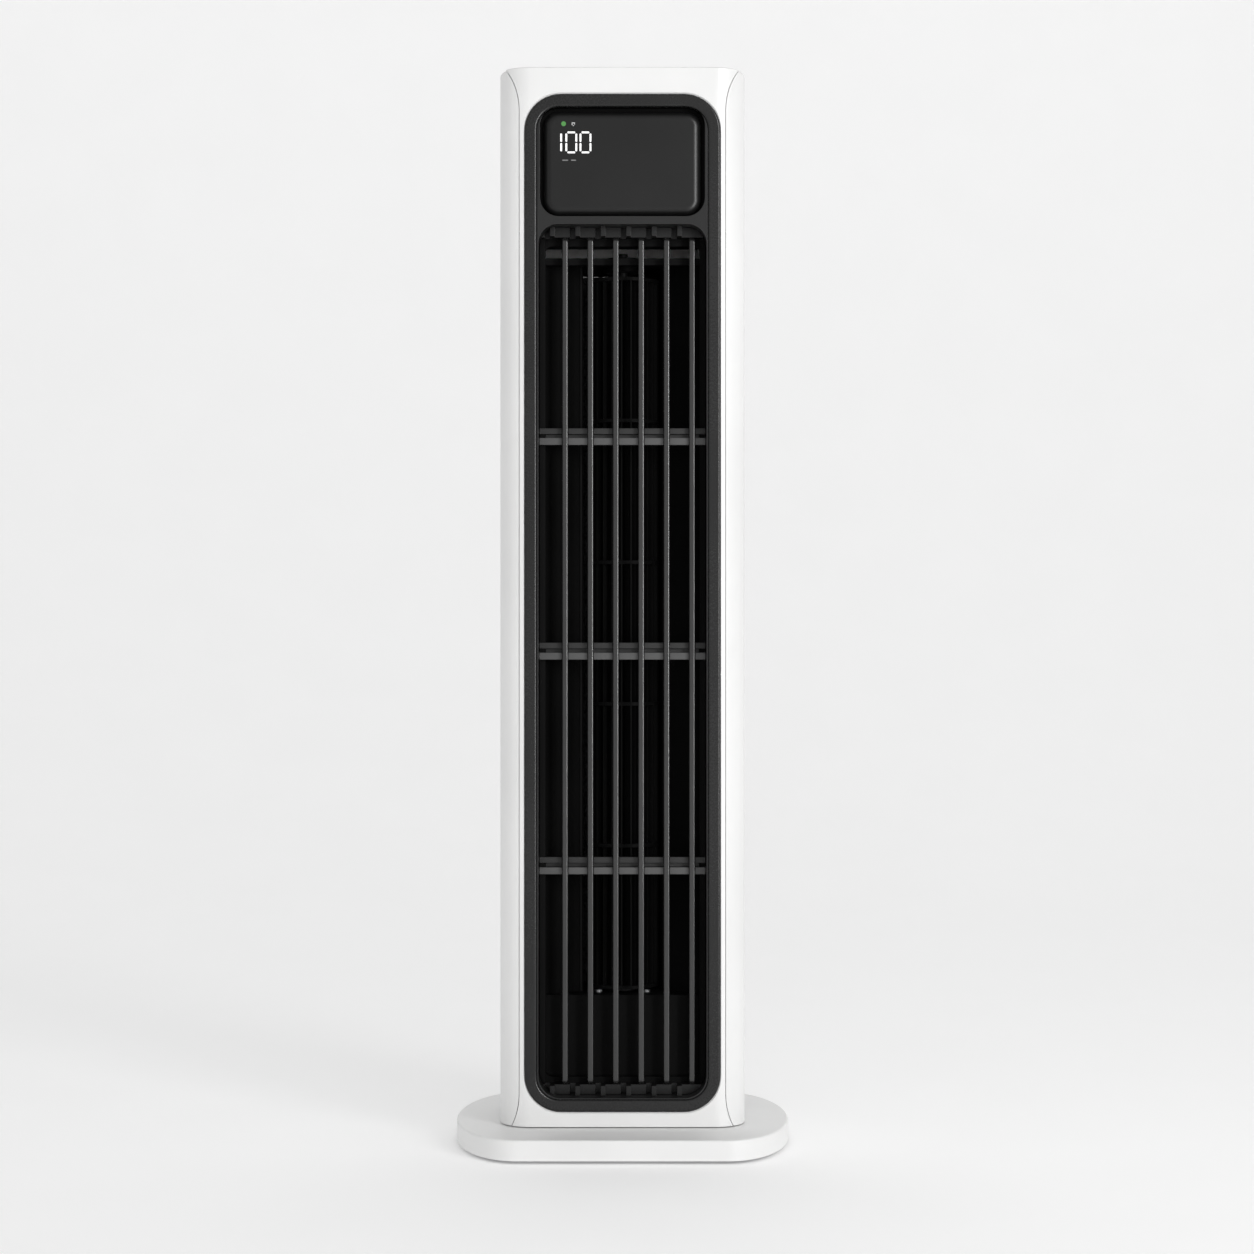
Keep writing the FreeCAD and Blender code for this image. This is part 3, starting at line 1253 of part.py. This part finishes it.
def grille_screw_places():
    """Three screws down each side of the grille, the end ones further in, past its round corners."""
    border = D.grille_border
    rows = ((grille_bottom + border / 2, border), ((grille_bottom + grille_top) / 2, border / 2),
            (grille_top - border / 2, border))
    return [(side * (grille_half - inset), level) for level, inset in rows for side in (-1, 1)]


def make_rear_grille():
    """The intake grille let into the back: a frame with upright bars and cross ties."""
    face = rear - D.grille_set
    border = D.grille_border
    frame = padded("grille_frame", "XZ_Plane", -face, -grille_back,
                   grille_outline(NONE), grille_outline(-border))
    deep = (grille_back, face)
    clear_half = grille_half - border
    clear = (grille_bottom + border - PAST, grille_top - border + PAST)
    count = int(2 * clear_half.value / SIZES["grille_pitch"])
    pieces = [frame]
    for index in range(count):
        x = D.grille_pitch * (index - (count - 1) / 2)
        half = D.grille_bar / 2
        pieces.append(block(f"grille_bar_{index + 1}", (x - half, x + half), deep, clear))
    ties = SIZES["grille_tie_count"]
    wide = (-clear_half - PAST, clear_half + PAST)
    for index in range(ties):
        z = clear[0] + (clear[1] - clear[0]) * ((index + 1) / (ties + 1))
        half = D.grille_tie / 2
        pieces.append(block(f"grille_tie_{index + 1}", wide, deep, (z - half, z + half)))
    tools = []
    seat = face - D.grille_sink
    for i, (x, z) in enumerate(grille_screw_places(), start=1):
        through = (grille_back - PAST, face + PAST)
        tools.append(bar(f"grille_hole_{i}", D.screw_radius + D.screw_fit, through, x, z))
        tools.append(bar(f"grille_sink_{i}", D.screw_head + D.screw_fit, (seat, face + PAST), x, z))
    node(cut("grille_cut", fuse("grille_whole", *pieces), *tools), "rear_grille")
    screws = [rear_screw(f"grille_screw_{i}", x, z, seat)
              for i, (x, z) in enumerate(grille_screw_places(), start=1)]
    node(group("grille_screw_set", screws), "grille_screws")


def make_dust_filter():
    """The frame that the grille is screwed to from behind, and the filter sheet it holds."""
    border = D.grille_border
    ring = padded("filter_ring", "XZ_Plane", -grille_back, -room_back, grille_outline(D.filter_frame_lap),
                  grille_outline(-border))
    threads = [bar(f"filter_frame_hole_{i}", D.screw_radius, (room_back - PAST, grille_back + PAST), x, z)
               for i, (x, z) in enumerate(grille_screw_places(), start=1)]
    node(cut("filter_frame_cut", ring, *threads), "filter_frame")
    start = -grille_back + D.filter_gap
    mesh = padded("filter_sheet", "XZ_Plane", start, start + D.filter_thickness,
                  grille_outline(-border - D.filter_gap))
    node(mesh, "dust_filter")


# ---- Build, check and write ---------------------------------------------------------------

make_base_cover()
make_base_plate()
make_base_weight()
make_feet()
make_base_screws()
make_pivot_post()
make_thrust_ring()
make_swing_gears()
make_stop_arm()
make_cord_gland()
make_tower_floor()
make_shell()
make_front_panel()
make_top_cap()
make_bezel()
make_fascia()
make_display()
make_guard()
make_inner_frame()
make_lower_cover()
make_air_guides()
make_top_bearing()
make_impeller()
make_motor()
make_swing_bracket()
make_swing_motor()
make_power_board()
make_rear_grille()
make_dust_filter()
doc.recompute()

for thing in doc.Objects:
    faults = [state for state in thing.State if state in ("Invalid", "Error")]
    if faults:
        raise RuntimeError(f"{thing.Name} failed: {faults}")
for piece in nodes:
    if piece.Shape.isNull() or not piece.Shape.isValid() or not piece.Shape.Solids:
        raise RuntimeError(f"{piece.Label} has no valid solid")

os.makedirs("parts", exist_ok=True)
for piece in nodes:
    piece.Shape.exportStep(os.path.join("parts", piece.Label + ".step"))
    box = piece.Shape.BoundBox
    print(f"{piece.Label}: {len(piece.Shape.Solids)} solids, {piece.Shape.Volume / 1000:.1f} cm3,"
          f" z {box.ZMin:.1f} to {box.ZMax:.1f}")
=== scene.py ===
import json
import math

import bmesh
import bpy
from mathutils import Matrix, Vector


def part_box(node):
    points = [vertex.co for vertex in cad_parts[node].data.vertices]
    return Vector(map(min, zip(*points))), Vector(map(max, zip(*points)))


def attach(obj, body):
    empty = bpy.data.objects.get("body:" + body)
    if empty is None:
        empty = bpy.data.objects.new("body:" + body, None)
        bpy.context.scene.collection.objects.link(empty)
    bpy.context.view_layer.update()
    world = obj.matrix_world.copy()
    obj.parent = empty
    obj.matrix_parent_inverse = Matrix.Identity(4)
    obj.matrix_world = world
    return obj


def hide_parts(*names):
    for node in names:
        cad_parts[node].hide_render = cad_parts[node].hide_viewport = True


# A white tower fan with a black front, on a pale studio sweep.  Metres, +Z up, front towards -Y.

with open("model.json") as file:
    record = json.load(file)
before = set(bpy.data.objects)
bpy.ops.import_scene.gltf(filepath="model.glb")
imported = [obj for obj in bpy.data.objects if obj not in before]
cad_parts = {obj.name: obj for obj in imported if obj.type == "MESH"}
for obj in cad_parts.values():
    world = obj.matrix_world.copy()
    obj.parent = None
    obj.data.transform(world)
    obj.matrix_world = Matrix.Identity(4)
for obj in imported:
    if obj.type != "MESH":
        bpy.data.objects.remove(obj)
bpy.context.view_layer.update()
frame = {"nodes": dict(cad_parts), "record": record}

MM = 0.001
BODY_OF = {name: body for body, names in frame["record"]["behaviour"]["bodies"].items() for name in names}
SLOT_OF = {entry["node"]: entry["material_slot"] for entry in frame["record"]["subparts"]}


# ---- Finishes -----------------------------------------------------------------------------


class Reading:
    """A socket of a finish's nodes; arithmetic on it adds Math nodes."""

    def __init__(self, finish, socket):
        self.finish = finish
        self.socket = socket

    def join(self, operation, first, second):
        made = self.finish.node("ShaderNodeMath", {"operation": operation}, {0: first, 1: second})
        return Reading(self.finish, made.outputs[0])

    def __add__(self, other):
        return self.join("ADD", self, other)

    def __radd__(self, other):
        return self.join("ADD", other, self)

    def __sub__(self, other):
        return self.join("SUBTRACT", self, other)

    def __rsub__(self, other):
        return self.join("SUBTRACT", other, self)

    def __mul__(self, other):
        return self.join("MULTIPLY", self, other)

    def __rmul__(self, other):
        return self.join("MULTIPLY", other, self)


class Finish:
    """A material: one Principled shader and the nodes that vary it over a surface."""

    def __init__(self, name, **constants):
        self.material = bpy.data.materials.new(name)
        self.material.use_nodes = True
        self.tree = self.material.node_tree
        self.shader = next(n for n in self.tree.nodes if n.type == "BSDF_PRINCIPLED")
        for socket, value in constants.items():
            self.shader.inputs[socket.replace("_", " ")].default_value = value
        self.places = self.node("ShaderNodeTexCoord", {}, {}).outputs["Object"]

    def node(self, kind, settings, sockets):
        """Add a node, set it up, then give its sockets values or links."""
        made = self.tree.nodes.new(kind)
        for name, value in settings.items():
            if name == "stops":
                for stop, (position, grey) in zip(made.color_ramp.elements, value):
                    stop.position = position
                    stop.color = (grey, grey, grey, 1)
            else:
                setattr(made, name, value)
        for name, value in sockets.items():
            if isinstance(value, Reading):
                value = value.socket
            if isinstance(value, bpy.types.NodeSocket):
                self.tree.links.new(value, made.inputs[name])
            else:
                made.inputs[name].default_value = value
        return made

    def stretched(self, across, deep, up):
        """Object coordinates scaled along X, Y and Z."""
        made = self.node("ShaderNodeMapping", {}, {"Vector": self.places, "Scale": (across, deep, up)})
        return made.outputs[0]

    def noise(self, scale, detail=2.0, places=None):
        """Smooth noise from 0 to 1."""
        sockets = {"Vector": places or self.places, "Scale": scale, "Detail": detail}
        return Reading(self, self.node("ShaderNodeTexNoise", {}, sockets).outputs["Fac"])

    def depth(self):
        """How far back a place is, in metres behind the swing axis."""
        made = self.node("ShaderNodeSeparateXYZ", {}, {"Vector": self.places})
        return Reading(self, made.outputs["Y"])

    def cells(self, scale, places=None):
        """The distance from the middle of a cell."""
        sockets = {"Vector": places or self.places, "Scale": scale}
        return Reading(self, self.node("ShaderNodeTexVoronoi", {}, sockets).outputs["Distance"])

    def band(self, reading, low, high):
        """0 below a low value, 1 above a high one."""
        settings = {"interpolation_type": "SMOOTHSTEP"}
        sockets = {"Value": reading, "From Min": low, "From Max": high}
        return Reading(self, self.node("ShaderNodeMapRange", settings, sockets).outputs[0])

    def blend(self, mask, first, second):
        """One colour turning into another."""
        made = self.node("ShaderNodeMix", {"data_type": "RGBA"}, {"Factor": mask})
        made.inputs[6].default_value = (*first, 1)
        made.inputs[7].default_value = (*second, 1)
        return made.outputs[2]

    def colour(self, mask, first, second):
        self.tree.links.new(self.blend(mask, first, second), self.shader.inputs["Base Color"])

    def roughness(self, reading):
        self.tree.links.new(reading.socket, self.shader.inputs["Roughness"])

    def relief(self, reading, height):
        """Raise the surface by up to a height in metres."""
        made = self.node("ShaderNodeBump", {}, {"Height": reading, "Distance": height, "Strength": 1.0})
        self.tree.links.new(made.outputs[0], self.shader.inputs["Normal"])


def moulded(name, dark, light, rough, grain=1100.0, height=0.012 * MM, **constants):
    """Moulded plastic: a fine spark-eroded grain, faint flow marks and a slightly uneven sheen."""
    finish = Finish(name, **constants)
    flow = finish.noise(scale=9.0, detail=3.0)
    fine = finish.noise(grain, detail=2.0)
    flow_sheen = 0.06
    grain_sheen = 0.05
    finish.colour(finish.band(flow, low=0.3, high=0.7), dark, light)
    finish.roughness(flow * flow_sheen + fine * grain_sheen + (rough - (flow_sheen + grain_sheen) / 2))
    finish.relief(fine, height)
    return finish.material


def rubber(name, dark, light):
    """Soft rubber: matt, with a coarse speckle and dusty patches."""
    finish = Finish(name)
    dust = finish.noise(scale=60.0, detail=4.0)
    speckle = finish.noise(scale=1600.0, detail=1.0)
    finish.colour(finish.band(dust, low=0.35, high=0.75), dark, light)
    finish.roughness(dust * 0.15 + 0.68)
    finish.relief(speckle, height=0.03 * MM)
    return finish.material


def plated_steel(name):
    """Zinc-plated steel: drawn lines and dull clouds."""
    finish = Finish(name, Metallic=1.0)
    drawn = finish.stretched(across=40.0, deep=40.0, up=2.0)
    lines = finish.noise(scale=30.0, detail=2.0, places=drawn)
    clouds = finish.noise(scale=45.0, detail=3.0)
    dull = (0.50, 0.51, 0.52)
    bright = (0.66, 0.67, 0.68)
    finish.colour(clouds, dull, bright)
    finish.roughness(lines * 0.14 + clouds * 0.10 + 0.22)
    finish.relief(lines, height=0.01 * MM)
    return finish.material


def circuit_board(name):
    """Green laminate with a woven ground and pale tracks."""
    finish = Finish(name)
    weave = finish.cells(scale=700.0)
    upright = finish.stretched(across=1.0, deep=1.0, up=4.0)
    tracks = finish.noise(scale=160.0, detail=1.0, places=upright)
    laminate = (0.01, 0.10, 0.04)
    track = (0.05, 0.25, 0.11)
    finish.colour(finish.band(tracks, low=0.55, high=0.58), laminate, track)
    finish.roughness(weave * 0.2 + 0.3)
    finish.relief(weave, height=0.02 * MM)
    return finish.material


def filter_mesh(name):
    """A fine woven screen: round pores between black threads."""
    finish = Finish(name)
    pores = finish.cells(scale=480.0)
    pore = (0.004, 0.004, 0.004)
    thread = (0.035, 0.035, 0.037)
    finish.colour(finish.band(pores, low=0.30, high=0.55), pore, thread)
    finish.roughness(pores * 0.3 + 0.5)
    finish.relief(finish.band(pores, low=0.25, high=0.55), height=0.25 * MM)
    return finish.material


def cross_rib(name, front=-33.6 * MM, back=-32.2 * MM):
    """The guard's rib plastic: grey on the front bars as painted light, and near black on those behind as
    painted shade.
    """
    finish = Finish(name, Specular_IOR_Level=0.4)
    grain = finish.noise(scale=1100.0, detail=2.0)
    # Painted light and shade by depth: the front bars get a lit grey, the bars further back a shaded
    # black.
    painted_light_grey = (0.072, 0.072, 0.072)
    painted_shade_black = (0.012, 0.012, 0.012)
    finish.colour(finish.band(finish.depth(), front, back), painted_light_grey, painted_shade_black)
    finish.roughness(grain * 0.05 + 0.36)
    finish.relief(grain, height=0.008 * MM)
    return finish.material


def lit_sign(name, colour, strength):
    """A lit part of the display, a little uneven like light through a thin window."""
    finish = Finish(name, Roughness=0.35, Emission_Strength=strength)
    spread = finish.noise(scale=500.0, detail=1.0)
    dimming = 0.86
    dimmer = tuple(channel * dimming for channel in colour)
    finish.colour(spread, dimmer, colour)
    finish.tree.links.new(finish.blend(spread, dimmer, colour), finish.shader.inputs["Emission Color"])
    return finish.material


def black_plastic(name, dark, light, rough, shine, grain=1100.0, height=0.012 * MM):
    """Moulded black plastic, with its own amount of shine."""
    return moulded(name, (dark, dark, dark), (light, light, light), rough, grain, height,
                   Specular_IOR_Level=shine)


FINISHES = {
    "white_shell": moulded("white_shell", (0.78, 0.78, 0.775), (0.82, 0.82, 0.815), rough=0.42),
    "black_bezel": black_plastic("black_bezel", 0.008, 0.012, rough=0.27, shine=0.36,
                                 grain=900.0, height=0.0015 * MM),
    "display_pad": black_plastic("display_pad", 0.007, 0.010, rough=0.34, shine=0.26,
                                 grain=1300.0, height=0.004 * MM),
    "black_satin": black_plastic("black_satin", 0.008, 0.013, rough=0.32, shine=0.34),
    "guard_slat": black_plastic("guard_slat", 0.010, 0.013, rough=0.24, shine=0.7,
                                height=0.001 * MM),
    "guard_rib": cross_rib("guard_rib"),
    # The end rails are darker than the slats as painted shade at the grille's top and bottom ends.
    "guard_end": black_plastic("guard_end", 0.004, 0.007, rough=0.34, shine=0.3,
                               height=0.004 * MM),
    # Near black instead of plated steel: painted shade inside the fan, which also keeps glints off the
    # axle and bush.
    "painted_shade_steel": black_plastic("painted_shade_steel", 0.006, 0.010, rough=0.55, shine=0.15),
    "black_inner": black_plastic("black_inner", 0.002, 0.004, rough=0.6, shine=0.06),
    "grey_plastic": moulded("grey_plastic", (0.22, 0.22, 0.23), (0.30, 0.30, 0.31), rough=0.5),
    "gear_plastic": moulded("gear_plastic", (0.66, 0.65, 0.60), (0.76, 0.75, 0.70), rough=0.35),
    "impeller_plastic": black_plastic("impeller_plastic", 0.003, 0.006, rough=0.65, shine=0.06),
    "grey_rubber": rubber("grey_rubber", (0.20, 0.20, 0.20), (0.30, 0.30, 0.30)),
    "black_rubber": rubber("black_rubber", (0.015, 0.015, 0.015), (0.04, 0.04, 0.04)),
    "steel": plated_steel("steel"),
    "circuit_board": circuit_board("circuit_board"),
    "filter_mesh": filter_mesh("filter_mesh"),
    "lit_white": lit_sign("lit_white", (0.95, 0.95, 0.95), strength=0.45),
    "lit_soft": lit_sign("lit_soft", (0.50, 0.50, 0.50), strength=0.35),
    "lit_green": lit_sign("lit_green", (0.06, 0.24, 0.05), strength=0.30),
    "lit_grey": lit_sign("lit_grey", (0.16, 0.16, 0.16), strength=0.35),
}

# Sub-parts whose finish differs from the one that their material slot names.
SPECIAL = {
    "display_panel": "display_pad", "dust_filter": "filter_mesh", "display_tray": "black_inner",
    # The end rails take the darker black, which is painted shade at the grille's ends.
    "guard_slats": "guard_slat", "guard_cross_ribs": "guard_rib", "guard_end_rails": "guard_end",
    # The axle and its bush are near black instead of their plated steel and bronze, as painted shade
    # inside the fan.
    "guard_side_rails": "black_inner", "top_axle": "painted_shade_steel", "bearing_bush": "painted_shade_steel",
}


def finish_of(node):
    """The finish that a sub-part is made in."""
    return FINISHES[SPECIAL.get(node, SLOT_OF[node])]


# ---- Pieces -------------------------------------------------------------------------------


def settle(mesh, name, node, finish, smooth_angle=math.radians(35)):
    """Make a mesh a finished piece that rides with a sub-part's body."""
    mesh.materials.clear()
    mesh.materials.append(finish)
    mesh.shade_smooth()
    mesh.set_sharp_from_angle(angle=smooth_angle)
    piece = bpy.data.objects.new(name, mesh)
    bpy.context.scene.collection.objects.link(piece)
    weigh = piece.modifiers.new("even_shading", "WEIGHTED_NORMAL")
    weigh.keep_sharp = True
    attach(piece, BODY_OF[node])
    return piece


MERGE_DISTANCE = 0.5e-6


def softened(node, width, segments=2, sharpness=math.radians(28)):
    """A sub-part with its sharp edges broken, as a mould leaves them."""
    mesh = frame["nodes"][node].data.copy()
    mesh.name = node + "_moulding"
    work = bmesh.new()
    work.from_mesh(mesh)
    bmesh.ops.remove_doubles(work, verts=work.verts, dist=MERGE_DISTANCE)
    edges = [e for e in work.edges if len(e.link_faces) == 2 and e.calc_face_angle(0.0) > sharpness]
    bmesh.ops.bevel(work, geom=edges, offset=width, offset_type="OFFSET", affect="EDGES",
                    segments=segments, profile=0.5, material=-1, clamp_overlap=True)
    work.to_mesh(mesh)
    work.free()
    piece = settle(mesh, node + "_moulding", node, finish_of(node))
    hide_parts(node)
    return piece


# How far the sharp edges of these sub-parts are broken, in millimetres.
BROKEN_EDGES = {
    "rear_shell": 0.5, "front_panel": 0.35, "base_cover": 0.8, "top_cap": 0.25, "bezel": 0.22,
    "fascia": 0.3, "display_tray": 0.2, "guard_slats": 0.3, "guard_cross_ribs": 0.35,
    "guard_side_rails": 0.4, "guard_end_rails": 0.3, "rear_grille": 0.4, "lower_cover": 0.3,
    "inner_frame": 0.3, "rubber_feet": 0.5,
}


def make_mouldings():
    """Break the edges of the sub-parts listed above, and give all the others their finish."""
    for node, width in BROKEN_EDGES.items():
        softened(node, width * MM)
    for node, thing in frame["nodes"].items():
        if node not in BROKEN_EDGES:
            thing.data.materials.clear()
            thing.data.materials.append(finish_of(node))


# ---- Display ------------------------------------------------------------------------------

# Places across the display are measured from the signs' left edge, and drops from its top.
SIGN_RISE = 0.05 * MM
SIGNS_INSET = 1.8 * MM
STROKE = 1.3 * MM
STROKE_ROUNDING = STROKE * 0.3
STROKE_REACH = STROKE * 1.15
STROKE_GAP = 0.95 * MM
DIGIT_HEIGHT = 15.7 * MM
DIGITS_DROP = 30.8 * MM
ONE_LEFT = 10.6 * MM
NOUGHT_LEFTS = (14.3 * MM, 24.5 * MM)
NOUGHT_WIDTH = 8.5 * MM
DOT_RADIUS = 1.7 * MM
DOT_LEFT = 13.0 * MM
DOT_DROP = 9.5 * MM
SMALL_SIGN_LEFT = 20.0 * MM
SMALL_SIGN_DROP = 9.9 * MM
DASHES_DROP = 36.2 * MM
DASH_HEIGHT = 0.8 * MM
DASH_ROUNDING = 0.3 * MM

# Left, right, low, high and rounding of the small sign's strokes, in millimetres from its middle.
SMALL_SIGN_STROKES = (
    (-1.2, 1.2, 0.7, 1.3, 0.25),
    (-1.2, -0.6, -0.6, 0.6, 0.25),
    (0.6, 1.2, -0.2, 0.6, 0.25),
    (-0.4, 0.5, -1.2, -0.7, 0.2),
)

# Left and width of each dash, in millimetres.
DASHES = ((12.0, 4.3), (18.4, 3.5))


def sign_stroke(work, left, right, low, high, rounding):
    """One lit stroke: a thin tablet with rounded ends, on the display's face."""
    middle = Vector(((left + right) / 2, pad_face - SIGN_RISE / 2, (low + high) / 2))
    size = Matrix.Diagonal((right - left, SIGN_RISE * 2, high - low, 1))
    made = bmesh.ops.create_cube(work, size=1.0, matrix=Matrix.Translation(middle) @ size)
    edges = {edge for vert in made["verts"] for edge in vert.link_edges}
    along = [e for e in edges if abs(e.verts[0].co.y - e.verts[1].co.y) > SIGN_RISE]
    bmesh.ops.bevel(work, geom=along, offset=rounding, offset_type="OFFSET", affect="EDGES",
                    segments=4, profile=0.5, material=-1, clamp_overlap=True)


def finished_sign(work, name, finish):
    """Turn the strokes into a piece on the display panel."""
    mesh = bpy.data.meshes.new(name)
    work.to_mesh(mesh)
    work.free()
    return settle(mesh, name, "display_panel", finish)


def make_digits():
    """The lit number: a one and two noughts in separate strokes."""
    low = pad_top - DIGITS_DROP
    high = low + DIGIT_HEIGHT
    middle = (low + high) / 2
    gap = STROKE_GAP / 2
    work = bmesh.new()
    columns = [signs_left + ONE_LEFT]
    for inset in NOUGHT_LEFTS:
        left = signs_left + inset
        right = left + NOUGHT_WIDTH
        for level in (low, high - STROKE):
            sign_stroke(work, left + STROKE_REACH, right - STROKE_REACH, level, level + STROKE,
                        STROKE_ROUNDING)
        columns += [left, right - STROKE]
    for left in columns:
        right = left + STROKE
        sign_stroke(work, left, right, low + STROKE_REACH, middle - gap, STROKE_ROUNDING)
        sign_stroke(work, left, right, middle + gap, high - STROKE_REACH, STROKE_ROUNDING)
    finished_sign(work, "display_number", FINISHES["lit_white"])


def make_dot():
    """The green dot above the number."""
    dot = bmesh.new()
    place = Vector((signs_left + DOT_LEFT, pad_face - SIGN_RISE / 2, pad_top - DOT_DROP))
    turn = Matrix.Rotation(math.radians(90), 4, "X")
    bmesh.ops.create_cone(dot, cap_ends=True, segments=40, radius1=DOT_RADIUS, radius2=DOT_RADIUS,
                          depth=SIGN_RISE * 2, matrix=Matrix.Translation(place) @ turn)
    finished_sign(dot, "display_dot", FINISHES["lit_green"])


def make_small_sign():
    """A few plain strokes beside the dot."""
    sign = bmesh.new()
    x = signs_left + SMALL_SIGN_LEFT
    z = pad_top - SMALL_SIGN_DROP
    for left, right, low, high, rounding in SMALL_SIGN_STROKES:
        sign_stroke(sign, x + left * MM, x + right * MM, z + low * MM, z + high * MM, rounding * MM)
    finished_sign(sign, "display_sign", FINISHES["lit_soft"])


def make_dashes():
    """The two dashes below the number."""
    dashes = bmesh.new()
    level = pad_top - DASHES_DROP
    for left, width in DASHES:
        start = signs_left + left * MM
        sign_stroke(dashes, start, start + width * MM, level, level + DASH_HEIGHT, DASH_ROUNDING)
    finished_sign(dashes, "display_dashes", FINISHES["lit_grey"])


# ---- Studio -------------------------------------------------------------------------------


def make_sweep():
    """A pale floor that curves up into a backdrop behind the fan."""
    half_width = 5.0
    front_edge = -5.0
    turn_start = 1.4
    turn_radius = 1.6
    top = 4.5
    work = bmesh.new()
    profile = [Vector((-half_width, front_edge, 0))]
    steps = 24
    for step in range(steps + 1):
        angle = math.radians(90) * step / steps
        profile.append(Vector((-half_width, turn_start + turn_radius * math.sin(angle),
                               turn_radius * (1 - math.cos(angle)))))
    profile.append(Vector((-half_width, turn_start + turn_radius, top)))
    verts = [work.verts.new(point) for point in profile]
    edges = [work.edges.new(pair) for pair in zip(verts, verts[1:])]
    made = bmesh.ops.extrude_edge_only(work, edges=edges)
    moved = [item for item in made["geom"] if isinstance(item, bmesh.types.BMVert)]
    bmesh.ops.translate(work, verts=moved, vec=(2 * half_width, 0, 0))
    bmesh.ops.recalc_face_normals(work, faces=work.faces)
    mesh = bpy.data.meshes.new("studio_sweep")
    work.to_mesh(mesh)
    work.free()
    paper = moulded("sweep_paper", (0.90, 0.90, 0.90), (0.91, 0.91, 0.91), rough=0.9,
                    grain=300.0, height=0.0, Emission_Color=(1, 1, 1, 1), Emission_Strength=0.17)
    mesh.materials.append(paper)
    mesh.shade_smooth()
    sweep = bpy.data.objects.new("studio_sweep", mesh)
    bpy.context.scene.collection.objects.link(sweep)


ROOM_AT_EYE_LEVEL = 0.70
ROOM_OVERHEAD = 0.56
ROOM_FADE_STARTS = 0.1
ROOM_FADE_ENDS = 0.9


def softbox(name, place, aim, width, height, power):
    """A rectangular studio light that faces a point."""
    light = bpy.data.lights.new(name, "AREA")
    light.shape = "RECTANGLE"
    light.size = width
    light.size_y = height
    light.energy = power
    lamp = bpy.data.objects.new(name, light)
    lamp.location = place
    lamp.rotation_euler = (Vector(aim) - Vector(place)).to_track_quat("-Z", "Y").to_euler()
    bpy.context.scene.collection.objects.link(lamp)
    return lamp


def make_light():
    """A white room that is dimmer overhead, with three soft lights in front, all to the right."""
    world = bpy.data.worlds.new("studio_room")
    world.use_nodes = True
    tree = world.node_tree
    room = next(n for n in tree.nodes if n.type == "BACKGROUND")
    room.inputs["Color"].default_value = (1.0, 1.0, 1.0, 1)
    direction = tree.nodes.new("ShaderNodeTexCoord")
    height = tree.nodes.new("ShaderNodeSeparateXYZ")
    fade = tree.nodes.new("ShaderNodeMapRange")
    tree.links.new(direction.outputs["Generated"], height.inputs[0])
    tree.links.new(height.outputs["Z"], fade.inputs["Value"])
    fade.inputs["From Min"].default_value = ROOM_FADE_STARTS
    fade.inputs["From Max"].default_value = ROOM_FADE_ENDS
    fade.inputs["To Min"].default_value = ROOM_AT_EYE_LEVEL
    fade.inputs["To Max"].default_value = ROOM_OVERHEAD
    tree.links.new(fade.outputs[0], room.inputs["Strength"])
    bpy.context.scene.world = world
    middle = (0.0, 0.0, 0.4)
    softbox("key_softbox", place=(1.5, -1.75, 0.9), aim=middle, width=0.6, height=1.6, power=16.0)
    # The strip is seen only in reflections, where it draws bright lines along rounded edges.
    strip = softbox("edge_softbox", place=(1.1, -1.95, 0.55), aim=middle,
                    width=0.26, height=2.2, power=52.0)
    strip.visible_diffuse = False
    # The fill lightens the front and isn't seen in reflections.
    fill = softbox("fill_softbox", place=(0.5, -3.4, 1.0), aim=middle,
                   width=2.4, height=1.8, power=17.0)
    fill.visible_glossy = False


CAMERA_LENS = 71.8
CAMERA_ASIDE = 3.3 * MM
CAMERA_DISTANCE = 1.850
CAMERA_HEIGHT = 0.3777


def make_camera():
    """A long lens at about half the fan's height, square to its front."""
    camera_data = bpy.data.cameras.new("front_camera")
    camera_data.lens = CAMERA_LENS
    camera_data.sensor_width = 36.0
    camera_data.clip_end = 50.0
    camera = bpy.data.objects.new("front_camera", camera_data)
    camera.location = (CAMERA_ASIDE, -CAMERA_DISTANCE, CAMERA_HEIGHT)
    camera.rotation_euler = (math.radians(90), 0, 0)
    bpy.context.scene.collection.objects.link(camera)
    bpy.context.scene.camera = camera


pad_low, pad_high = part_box("display_panel")
pad_face = pad_low.y
signs_left = pad_low.x + SIGNS_INSET
pad_top = pad_high.z

make_camera()
make_mouldings()
make_digits()
make_dot()
make_small_sign()
make_dashes()
make_sweep()
make_light()
bpy.context.scene.view_settings.view_transform = "Standard"
